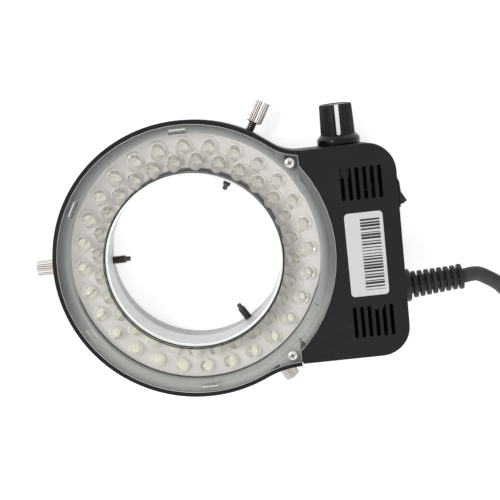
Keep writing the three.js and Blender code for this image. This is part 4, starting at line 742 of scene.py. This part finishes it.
def make_tie():
    """Hook-and-loop strap round the coil."""
    shape = block((TIE_INNER - TIE_THICK, -TIE_HALF_WIDTH, TIE_LOW - TIE_THICK),
                  (TIE_OUTER + TIE_THICK, TIE_HALF_WIDTH, TIE_HIGH + TIE_THICK))
    ends = [face for face in shape.faces if abs(face.normal.y) > 0.9]
    bmesh.ops.delete(shape, geom=ends, context="FACES_ONLY")
    bends = [edge for edge in shape.edges
             if abs((edge.verts[0].co - edge.verts[1].co).normalized().y) > 0.9]
    rounded(shape, bends, TIE_BEND, 5)
    bmesh.ops.recalc_face_normals(shape, faces=shape.faces[:])
    bmesh.ops.solidify(shape, geom=shape.faces[:], thickness=TIE_THICK)
    lie = Matrix.Translation(COIL_CENTRE) @ Matrix.Rotation(TIE_TURN, 4, "Z")
    return make_piece("coil_strap", shape, "housing", [RELIEF], ("cord_tie",), 40,
                      PLACE @ lie, edge=0.12)


lead, lead_exit, lead_length, lead_end, lead_heading = make_cord()
plug = make_plug(lead_end, lead_heading)
strap = make_tie()


# Housing, box cover and label
COVER_RIM_FROM = 51
COVER_BOX_SIDE_FROM = 19
COVER_LINE_FOOT = (0.015, -0.2)
COVER_LINE_STEPS = ((0.015, 0.015), (-0.15, 0.015))
COVER_SEAT_FOOT = (-0.1, -1.65)
COVER_SEAT_STEPS = ((-2.2, -1.65),)
TAB_HALF = 3.1
TAB_TOP = 26.3
CROSS_TURNS = (25, 115)


def make_cover_strip(name, finish, foot_at, steps, right_of=-1):
    """Strip that follows the clear cover's outer upper edge; its places are (outwards, up) from that edge."""
    shape = node_shape("lens_cover")
    top = max(vert.co.z for vert in shape.verts)
    rim, outwards = set(), {}
    for edge in shape.edges:
        ends = [vert for vert in edge.verts if vert.co.z > top - 2e-6 and vert.co.x > right_of
                and math.hypot(vert.co.x - RING_AXIS_X, vert.co.y) > COVER_RIM_FROM * MM]
        if len(ends) == 2 and edge.calc_face_angle(0) > 1:
            rim.add(edge)
            for vert in ends:
                walls = [face.normal for face in vert.link_faces if abs(face.normal.z) < 0.1]
                outwards[tuple(vert.co)] = sum(walls, Vector()).normalized()
    others = [edge for edge in shape.edges if edge not in rim]
    bmesh.ops.delete(shape, geom=shape.faces[:], context="FACES_ONLY")
    bmesh.ops.delete(shape, geom=others, context="EDGES")
    foot, outline = shape.verts[:], shape.edges[:]
    for out, up in steps:
        verts, outline = drawn_out(shape, outline)
        for vert in verts:
            nearest = min(outwards, key=lambda corner: (Vector(corner) - vert.co).length)
            vert.co = Vector(nearest) + outwards[nearest] * out * MM + Vector((0, 0, up * MM))
    for vert in foot:
        vert.co += outwards[tuple(vert.co)] * foot_at[0] * MM + Vector((0, 0, foot_at[1] * MM))
    make_piece(name, shape, "housing", [finish], (), 35, Matrix())


def make_trim_step():
    """Step at the foot of the trim, with painted shade on its lip on the lower half."""
    step = lathe([(48.01, 18.5), (48.4, 18.5), (48.4, 22.9), (48.22, 22.9), (48.2, 20.7), (48.01, 20.4)], 180,
                 closed=True)
    lip_top = 20.6
    # Faces below the lip's top take the lip's painted shade.
    for face in step.faces:
        face.material_index = 1 if height_of(face) < lip_top else 0
    make_piece("trim_step", step, "housing", [TRIM, TRIM_LIP_SHADE])


def make_trim_cove():
    """Hollow round the trim's foot, up to its rim, with painted shade towards the rim on its upper half."""
    cove = lathe([(48.2, 23.06), (49.2, 22.95), (50.1, 23.05), (50.8, 23.4), (51.3, 24.0), (51.6, 24.8),
                  (51.75, 25.7), (51.8, 26.05), (51.86, 26.05), (51.86, 22.7), (48.2, 22.92)], 180,
                 closed=True)
    make_piece("trim_cove", cove, "housing", [TRIM_COVE])


def make_inner_wall_edge():
    """Black sleeve between the collar and the LED field."""
    sleeve = lathe([(34.22, 16.7), (34.42, 16.7), (34.42, 20.0), (33.98, 20.4), (33.98, 25.2), (34.28, 25.3),
                    (34.28, 25.8), (33.78, 25.8), (33.78, 20.4), (34.22, 20.1)], 180, closed=True)
    make_piece("inner_wall_edge", sleeve, "housing", [BLACK])


def make_tab_edges():
    """Painted highlights on the outer edges of three clear snap tabs; the inner edge has painted shade on two
    of them and a painted highlight on the third.
    """
    marks = bmesh.new()
    tab_foot, inner_side, outer_side, edge_face = 25.6, 48.5, 49.7, 50.1
    # Dark inner edges are painted shade, light ones painted highlights.
    dark, light = (tab_foot, 48.78, 1), (24.0, 48.56, 2)
    for angle, (foot, face, finish) in ((90, dark), (150, dark), (270, light)):
        around = Matrix.Rotation(math.radians(angle), 4, "Z")
        join(marks, block((outer_side, -TAB_HALF, tab_foot), (edge_face, TAB_HALF, TAB_TOP)), around, 0)
        join(marks, block((inner_side, -TAB_HALF, foot), (face, TAB_HALF, TAB_TOP)), around, finish)
    make_piece("tab_edges", marks, "housing", [TAB_EDGE_HIGHLIGHT, BLACK, CLEAR_EDGE_HIGHLIGHT])


def make_shell():
    refined("housing_shell", "rear_housing", "housing", BLACK, edge=0.25, ring=True)
    refined("box_lid", "box_cover", "housing", BLACK, edge=0.3, ring=True)
    refined("label_plate", "label", "housing", LABEL, edge=0.04)
    refined("clear_cover", "lens_cover", "housing", CLEAR, edge=0.15, ring=True)
    # A painted highlight strip along the clear cover's outer edge; the seat strip takes the trim cove's
    # painted shade.
    make_cover_strip("cover_edge_highlight", CLEAR_EDGE_HIGHLIGHT, COVER_LINE_FOOT, COVER_LINE_STEPS)
    make_cover_strip("cover_seat", TRIM_COVE, COVER_SEAT_FOOT, COVER_SEAT_STEPS, COVER_BOX_SIDE_FROM * MM)
    refined("trim_ring", "outer_trim", "housing", TRIM, edge=0.15, ring=True)
    make_trim_step()
    make_trim_cove()
    make_inner_wall_edge()
    make_tab_edges()


def make_cover_screw(number):
    """Pan-head screw with a cross recess, a thin floor of painted shade in it, and a washed zinc finish."""
    node = f"cover_screw_{number}"
    low, high = node_box(node)
    stand = PLACE @ Matrix.Translation(((low[0] + high[0]) / 2, (low[1] + high[1]) / 2, 0))
    shape = lathe([(0, 20.0), (0.7, 20.4), (1.0, 21), (1.0, 28), (1.95, 28.0), (2.0, 28.25), (1.92, 28.65),
                   (1.6, 29.0), (1.1, 29.2), (0.5, 29.28), (0, 29.3)], 28)
    piece = make_piece(f"cover_screw_head_{number}", shape, "housing", [ZINC], (node,), 40,
                       stand)
    # The recess floor is a thin sheet in painted shade.
    cross, floor = bmesh.new(), bmesh.new()
    for degrees in CROSS_TURNS:
        turned = Matrix.Rotation(math.radians(degrees), 4, "Z")
        join(cross, block((-1.2, -0.3, 28.7), (1.2, 0.3, 29.6)), turned)
        join(floor, block((-1.22, -0.32, 28.6), (1.22, 0.32, 28.78)), turned)
    cut(piece, cross, stand)
    make_piece(f"cross_recess_{number}", floor, "housing", [RECESS_SHADE], (), 40, stand)


def cut(piece, shape, place=PLACE):
    """Takes the shape away from the piece for good."""
    shape.transform(place)
    mesh = mesh_of(shape, "cutter")
    cutter = add_object("cutter", mesh)
    hole = piece.modifiers.new("hole", "BOOLEAN")
    hole.object = cutter
    hole.operation = "DIFFERENCE"
    hole.solver = "EXACT"
    hole.use_self = True
    made = bpy.data.meshes.new_from_object(piece.evaluated_get(bpy.context.evaluated_depsgraph_get()))
    piece.modifiers.remove(hole)
    whole = piece.data
    made.name = whole.name + "_cut"
    made.set_sharp_from_angle(angle=math.radians(35))
    piece.data = made
    bpy.data.meshes.remove(whole)
    bpy.data.objects.remove(cutter)
    bpy.data.meshes.remove(mesh)


make_shell()
make_cover_screw(1)
make_cover_screw(2)


# Lamps
LED_TILT = math.radians(18)
LED_RADIUS = 2.5
LED_SHOULDER = 6.1
LED_HEIGHT = 8.6
LED_FLANGE = 2.85
LED_SEAT_GAP = 0.3
LEDS_PER_ROW = 28
OUTER_ROW_RADIUS = 44.1
INNER_ROW_RADIUS = 38.4
CARRIER_AT_OUTER_ROW = 17.7
ROW_PHASE = math.radians(-1.1)


def carrier_face(radius):
    """Height of the conical carrier's face at a radius."""
    return CARRIER_AT_OUTER_ROW + (radius - OUTER_ROW_RADIUS) * math.tan(LED_TILT)


def make_led():
    """Clear 5 mm LED: flange with a painted highlight on its rim, barrel and dome, with its lead frame and
    phosphor cup inside.
    """
    dome = [(LED_RADIUS * math.cos(math.radians(a)), LED_SHOULDER + LED_RADIUS * math.sin(math.radians(a)))
            for a in (15, 30, 45, 60, 75)]
    led = lathe([(0, 0), (LED_FLANGE, 0), (LED_FLANGE, 0.9), (LED_FLANGE - 0.1, 1.0), (LED_RADIUS, 1.05),
                 (LED_RADIUS, LED_SHOULDER), *dome, (0, LED_HEIGHT)], 28)
    flange_top, outside_barrel = 1.03, 2.6
    # The flange's rim takes the painted highlight.
    for face in led.faces:
        on_flange_highlight = height_of(face) < flange_top and radius_of(face) > outside_barrel
        face.material_index = 3 if on_flange_highlight else 0
    join(led, lathe([(0, 3.0), (0.4, 3.0), (0.55, 3.5), (0.45, 3.62), (0, 3.68)], 12), finish=1)
    join(led, lathe([(0.58, 3.3), (1.02, 3.85), (1.1, 3.85), (0.66, 3.1)], 12, closed=True), finish=2)
    join(led, block((-1.3, -0.45, 0.2), (-0.15, 0.45, 2.95)), finish=2)
    join(led, block((0.75, -0.3, 0.2), (1.25, 0.3, 3.6)), finish=2)
    return led


def make_row(name, node, radius, phase):
    """One row of LEDs, each upright on the carrier's slope."""
    foot = carrier_face(radius) + LED_SEAT_GAP / math.cos(LED_TILT)
    led = make_led()
    led.transform(Matrix.Rotation(phase, 4, "Z") @ Matrix.Translation((radius, 0, foot))
                  @ Matrix.Rotation(-LED_TILT, 4, "Y"))
    repeat(led, LEDS_PER_ROW)
    make_piece(name, led, "housing", [RESIN, PHOSPHOR, LEAD_FRAME, FLANGE_HIGHLIGHT], (node,), 40)


def make_lamps():
    half = FULL_TURN / LEDS_PER_ROW / 2
    make_row("leds_outer", "led_row_outer", OUTER_ROW_RADIUS, ROW_PHASE)
    make_row("leds_inner", "led_row_inner", INNER_ROW_RADIUS, ROW_PHASE + half)
    refined("led_plate", "led_carrier", "housing", CARRIER, edge=0.1, ring=True)


make_lamps()


# Collar and thumb screws
THUMB_ANGLES = [math.radians(a) for a in (60, 180, 300)]
THUMB_HEIGHT = 7.3
THUMB_HOLE_RADIUS = 1.8
COLLAR_SCREW_ANGLES = [math.radians(a) for a in (0, 120, 240)]
COLLAR_SCREW_CIRCLE = 38.8
COLLAR_SCREW_HOLE_RADIUS = 1.2
THREAD_CREST = 1.65
THREAD_ROOT = 1.3
THREAD_PITCH = 0.7
GRIP_RADIUS = 3.2
GRIP_RIDGES = 22
GRIP_FOOT = 56.0
GRIP_GROOVE_DEPTHS = (0.34, 0.12, 0, 0.12)


def thumb_place(angle):
    """For what is drawn along Z, outwards from the ring's axis."""
    return Matrix.Rotation(angle, 4, "Z") @ Matrix.Translation((0, 0, THUMB_HEIGHT)) @ Z_TO_X


def make_collar():
    """Collar with a painted highlight on its front lip and painted shade on its stepped bore, rear flange and
    groove, drilled for its screws.
    """
    shape = lathe([
        (34.5, 1.5), (36.2, 1.5), (36.2, 2.3), (40.6, 2.3), (40.6, 4.3), (37.0, 4.3), (37.0, 12.5),
        (34.2, 12.5), (34.2, 19.8), (33.75, 20.25), (33.75, 25.9), (33.65, 26.0), (33.35, 26.0), (33.1, 25.9),
        (32.9, 25.55), (32.91, 25.0), (33.2, 24.75), (32.92, 24.5), (33.1, 13.2), (33.7, 13.2),
    ], 180, closed=True)
    lip_foot, groove_top, groove_foot, seat_top = 25.1, 25, 24.5, 13.3
    # The lip takes the painted highlight; the seat, the rear flange and the groove take painted shade.
    for face in shape.faces:
        height = height_of(face)
        dark = height < seat_top or groove_foot < height < groove_top
        face.material_index = 1 if height > lip_foot else 2 if dark else 0
    collar = make_piece("clamp_collar", shape, "housing",
                        [COLLAR, COLLAR_LIP_HIGHLIGHT, COLLAR_PAINTED_SHADE], ("collar",), 30)
    holes = bmesh.new()
    for angle in THUMB_ANGLES:
        drill = lathe([(0, 30), (THUMB_HOLE_RADIUS, 30), (THUMB_HOLE_RADIUS, 39), (0, 39)], 24)
        join(holes, drill, thumb_place(angle))
    for angle in COLLAR_SCREW_ANGLES:
        drill = lathe([(0, -1), (COLLAR_SCREW_HOLE_RADIUS, -1), (COLLAR_SCREW_HOLE_RADIUS, 6), (0, 6)], 12)
        join(holes, drill, Matrix.Rotation(angle, 4, "Z") @ Matrix.Translation((COLLAR_SCREW_CIRCLE, 0, 0)))
    cut(collar, holes)


def thread(low, high):
    """Profile of thread crests and roots from low to high."""
    radii_and_shares = ((THREAD_ROOT, 0), (THREAD_CREST, 0.4), (THREAD_CREST, 0.55), (THREAD_ROOT, 0.95))
    return [(radius, low + turn * THREAD_PITCH + THREAD_PITCH * share)
            for turn in range(int((high - low) / THREAD_PITCH)) for radius, share in radii_and_shares]


def make_thumb_shank(number, place):
    """Dark threaded shank with a dog point and a painted highlight on its thread crests."""
    shank = lathe([(0, 27), (0.8, 27), (0.95, 27.15), (0.95, 28.8), (THREAD_ROOT, 28.8),
                   *thread(28.9, 60.0), (THREAD_ROOT, 60.5), (0, 60.5)], 24)
    crest_from = 1.55
    # Crest faces take the painted highlight.
    for face in shank.faces:
        face.material_index = 1 if radius_of(face) > crest_from else 0
    make_piece(f"thumb_shank_{number}", shank, f"thumb_screw_{number}",
               [DARK_STEEL, CREST_HIGHLIGHT], (f"thumb_screw_shank_{number}",), 50, place)


def make_thumb_grip(number, place):
    """Knurled head: ridged side with painted shade in its grooves, cupped outer end, and a neck behind it."""
    grip = bmesh.new()
    bmesh.ops.create_circle(grip, cap_ends=False, radius=GRIP_RADIUS, segments=GRIP_RIDGES * 4)
    for index, vert in enumerate(sorted(grip.verts, key=heading_of)):
        vert.co *= 1 - GRIP_GROOVE_DEPTHS[index % 4] / GRIP_RADIUS
    bmesh.ops.translate(grip, verts=grip.verts[:], vec=(0, 0, GRIP_FOOT))
    edges = grip.edges[:]
    for step, share in ((8.25, 1.0), (0.15, 0.93), (0.13, 0.88), (0.0, 0.45), (-0.1, 0.4), (0.0, 0.02)):
        verts, edges = drawn_out(grip, edges)
        bmesh.ops.translate(grip, verts=verts, vec=(0, 0, step))
        if share != 1.0:
            for vert in verts:
                set_radius(vert, GRIP_RADIUS * share)
    bmesh.ops.contextual_create(grip, geom=edges)
    edges = [edge for edge in grip.edges if edge.is_boundary]
    for step, radius in ((-0.3, 2.8), (-0.15, 2.6), (0.0, 1.85), (5.4, 1.8)):
        verts, edges = drawn_out(grip, edges)
        for vert in verts:
            set_radius(vert, radius)
            vert.co.z += step
    bmesh.ops.contextual_create(grip, geom=edges)
    bmesh.ops.recalc_face_normals(grip, faces=grip.faces[:])
    groove_reach, groove_low, groove_high = 3.02, 56.2, 64.3
    # Groove faces take painted shade.
    for face in grip.faces:
        if radius_of(face) < groove_reach and groove_low < height_of(face) < groove_high:
            face.material_index = 1
    make_piece(f"thumb_grip_cap_{number}", grip, f"thumb_grip_{number}", [NICKEL, RECESS_SHADE],
               (f"thumb_screw_head_{number}",), 28, place)


make_collar()
for number, angle in enumerate(THUMB_ANGLES, 1):
    make_thumb_shank(number, PLACE @ thumb_place(angle))
    make_thumb_grip(number, PLACE @ thumb_place(angle))


# Dimmer knob
KNOB_RADIUS = 6.5
KNOB_FLUTES = 30
KNOB_FLUTE_DEPTH = 0.26
KNOB_CAP_FOOT = 3.7
KNOB_TAPER = 0.945
POINTER_HALF = 0.75
POINTER_TOP_REACH = 6.22


def knob_skirt():
    """Flared skirt under the cap, with a rounded rim."""
    return lathe([(6.4, 0.1), (7.9, 0), (8.1, 0.12), (8.15, 0.4), (8.15, 2.3), (8.05, 2.55), (7.85, 2.7),
                  (6.9, 3.75), (6.6, 3.95), (6.2, 4.0), (6.2, 3.2), (6.4, 2.2)], 72, closed=True)


def knob_cap():
    """Fluted cap that tapers to its rounded top; heights with shares of its radius."""
    cap = bmesh.new()
    bmesh.ops.create_circle(cap, cap_ends=False, radius=KNOB_RADIUS, segments=KNOB_FLUTES * 4)
    for index, vert in enumerate(sorted(cap.verts, key=heading_of)):
        if index % 4 in (0, 1):
            vert.co *= 1 - KNOB_FLUTE_DEPTH / KNOB_RADIUS
    bmesh.ops.translate(cap, verts=cap.verts[:], vec=(0, 0, KNOB_CAP_FOOT))
    edges = cap.edges[:]
    for height, grow in ((14.7, KNOB_TAPER), (15.1, 0.93 / KNOB_TAPER)):
        verts, edges = drawn_out(cap, edges)
        for vert in verts:
            vert.co.x, vert.co.y, vert.co.z = vert.co.x * grow, vert.co.y * grow, height
    for height, share in ((15.35, 0.88), (15.4, 0.8), (15.15, 0.76), (15.1, 0.02)):
        verts, edges = drawn_out(cap, edges)
        for vert in verts:
            set_radius(vert, KNOB_RADIUS * share)
            vert.co.z = height
    bmesh.ops.contextual_create(cap, geom=edges)
    bmesh.ops.recalc_face_normals(cap, faces=cap.faces[:])
    return cap


def knob_pointer():
    """Bar that leans in towards the knob's top and has rounded ends at its foot."""
    bar = block((-POINTER_HALF, 5.0, 4.0), (POINTER_HALF, 6.62, 15.3))
    for vert in bar.verts:
        if vert.co.z > 10 and vert.co.y > 6:
            vert.co.y = POINTER_TOP_REACH
    foot = [edge for edge in bar.edges if max(vert.co.z for vert in edge.verts) < 5
            and abs(edge.verts[0].co.x - edge.verts[1].co.x) < 0.01]
    rounded(bar, foot, 0.6, 4)
    bmesh.ops.recalc_face_normals(bar, faces=bar.faces[:])
    return bar


def make_knob():
    """Fluted cap on a glossy skirt, with a white pointer let into its lit side."""
    low, high = node_box("dimmer_knob")
    stand = Matrix.Translation(((low[0] + high[0]) / 2, low[1], (low[2] + high[2]) / 2))
    stand = PLACE @ stand @ Matrix.Rotation(math.radians(-90), 4, "X")
    shell = knob_skirt()
    join(shell, knob_cap(), finish=1)
    make_piece("knob_shell", shell, "dimmer", [KNOB_GLOSS, KNOB_BLACK], ("dimmer_knob",), 32,
               stand)
    make_piece("knob_line", knob_pointer(), "dimmer", [WHITE_INLAY], ("knob_pointer",), 40,
               stand @ Matrix.Rotation(math.radians(180), 4, "Z"), edge=0.1)


make_knob()


# Rocker switch
refined("switch_bezel", "switch_body", "housing", BLACK, edge=0.25)
refined("rocker_cap", "rocker", "switch_rocker", GLOSS_BLACK, edge=0.25)


# Strain relief
RELIEF_RIBS = 8
RIB_SHARE = 0.64
RIB_RADIUS = 5.25
RIB_TAPER = 0.5
LAST_RIB_WIDER = 0.25
BRIDGE_HALF = 0.55


def relief_ribs():
    """Core with ribs that get smaller outwards, and a bridge from each rib to the one before it."""
    pitch = RELIEF_LENGTH / RELIEF_RIBS
    ribs = lathe([(0, -0.8), (3.4, -0.8), (3.3, RELIEF_LENGTH - 0.2), (0, RELIEF_LENGTH - 0.2)], 32)
    for rib in range(RELIEF_RIBS):
        radius = RIB_RADIUS - RIB_TAPER * rib / (RELIEF_RIBS - 1)
        if rib == RELIEF_RIBS - 1:
            radius += LAST_RIB_WIDER
        high = pitch * (rib + 1)
        low = high - pitch * RIB_SHARE
        join(ribs, lathe([(0, low), (radius - 0.25, low), (radius, low + 0.25), (radius, high - 0.25),
                          (radius - 0.25, high - 0.02), (0, high - 0.02)], 32))
        side, foot = radius - 0.7, low - pitch * (1 - RIB_SHARE) - 0.1
        join(ribs, block((-side, -BRIDGE_HALF, foot), (side, BRIDGE_HALF, low + 0.1)))
    return ribs


def make_relief():
    """Flange on the box's wall, a grip inside it, and the ribbed sleeve round the cord."""
    root = lathe([(0, -3.0), (6.1, -3.0), (6.3, -2.85), (6.35, -2.5), (6.35, -0.6), (6.2, -0.2), (5.7, 0),
                  (0, 0)], 40)
    join(root, lathe([(0, -7.2), (5.9, -7.2), (6.2, -6.9), (6.2, -5.5), (4.6, -5.5), (4.6, -2.9),
                      (0, -2.9)], 32))
    root.transform(Matrix.Translation(RELIEF_FOOT) @ Z_TO_X)
    tilt = Matrix.Translation(RELIEF_FOOT) @ Matrix.Rotation(RELIEF_TILT, 4, "Z") @ Z_TO_X
    join(root, relief_ribs(), tilt)
    make_piece("relief_sleeve", root, "housing", [RELIEF], ("strain_relief",), 40)


make_relief()


# Pieces that keep their CAD shape
dress(ZINC, *(f"box_screw_{number}" for number in range(1, 5)))
dress(ZINC, *(f"collar_screw_{number}" for number in range(1, 4)))
dress(DARK_STEEL, "dimmer_body", "heat_sink", "clamp_screw_1", "clamp_screw_2")
dress(DARK_STEEL, "switch_terminal_1", "switch_terminal_2")
dress(BARE, "dimmer_shaft")
dress(NICKEL, "dimmer_nut")
dress(BRASS, "plug_pin_1", "plug_pin_2")
dress(BOARD_GREEN, "driver_board")
dress(COPPER_TAPE, "transformer")
dress(CAPACITOR, "capacitor_1", "capacitor_2")
dress(RESIN, "fuse")
dress(BLACK, "regulator", "cord_clamp")
dress(LEAD_RED, "led_lead_1", "led_lead_2", "switch_lead")
dress(CORD_BLACK, "cord_tail")


# Floor, light and background
FLOOR_HALF = 3
FLOOR_DROP = 0.0002
FLOOR_GLOW = 0.63
WORLD_LIGHT = 0.62
LAMP_TARGET = (0, 0, 0.01)


def seen_ray(tree):
    """One on rays that show the background: straight from the camera, mirrored or through glass."""
    path = put(tree, "ShaderNodeLightPath").outputs
    return maths(tree, "MAXIMUM", path["Is Camera Ray"],
                 maths(tree, "MAXIMUM", path["Is Glossy Ray"], path["Is Transmission Ray"]))


def make_floor():
    """Matt pale floor that keeps the shadow, with a little glow where the background is seen."""
    shape = bmesh.new()
    bmesh.ops.create_grid(shape, x_segments=1, y_segments=1, size=FLOOR_HALF,
                          matrix=Matrix.Translation((0, 0, -FLOOR_DROP)))
    finish, tree, where, surface = blank_finish("pale floor")
    speckle = put(tree, "ShaderNodeTexNoise", {"Vector": where, "Scale": 40, "Detail": 3}).outputs["Fac"]
    shade = put(tree, "ShaderNodeMapRange", {"Value": speckle, "To Min": 0.9, "To Max": 0.93}).outputs[0]
    grey = put(tree, "ShaderNodeCombineColor", {0: shade, 1: shade, 2: shade}).outputs[0]
    matt = put(tree, "ShaderNodeBsdfDiffuse", {"Color": grey}).outputs[0]
    strength = maths(tree, "MULTIPLY", seen_ray(tree), FLOOR_GLOW)
    glow = put(tree, "ShaderNodeEmission", {"Strength": strength}).outputs[0]
    tree.links.new(put(tree, "ShaderNodeAddShader", {0: matt, 1: glow}).outputs[0], surface)
    mesh = mesh_of(shape, "floor")
    mesh.materials.append(finish)
    add_object("floor", mesh)


def make_lamp(name, power, size, place):
    """Square soft lamp that looks at the ring."""
    lamp = bpy.data.lights.new(name, "AREA")
    lamp.shape = "SQUARE"
    lamp.size = size
    lamp.energy = power
    stand = add_object(name, lamp)
    stand.location = place
    stand.rotation_euler = (Vector(LAMP_TARGET) - Vector(place)).to_track_quat("-Z", "Y").to_euler()


def make_world():
    world = bpy.data.worlds.new("studio")
    world.use_nodes = True
    tree = world.node_tree
    tree.nodes.clear()
    strength = put(tree, "ShaderNodeMapRange", {"Value": seen_ray(tree), "To Min": WORLD_LIGHT})
    sky = put(tree, "ShaderNodeBackground", {"Color": (1, 1, 1, 1), "Strength": strength.outputs[0]})
    tree.links.new(sky.outputs[0], put(tree, "ShaderNodeOutputWorld").inputs["Surface"])
    scene.world = world


make_floor()
make_world()
make_lamp("key_light", power=5.0, size=0.42, place=(-0.75, 0.45, 1.0))
make_lamp("fill_light", power=1.7, size=0.7, place=(0.35, -0.75, 0.65))
scene.view_settings.view_transform = "Standard"
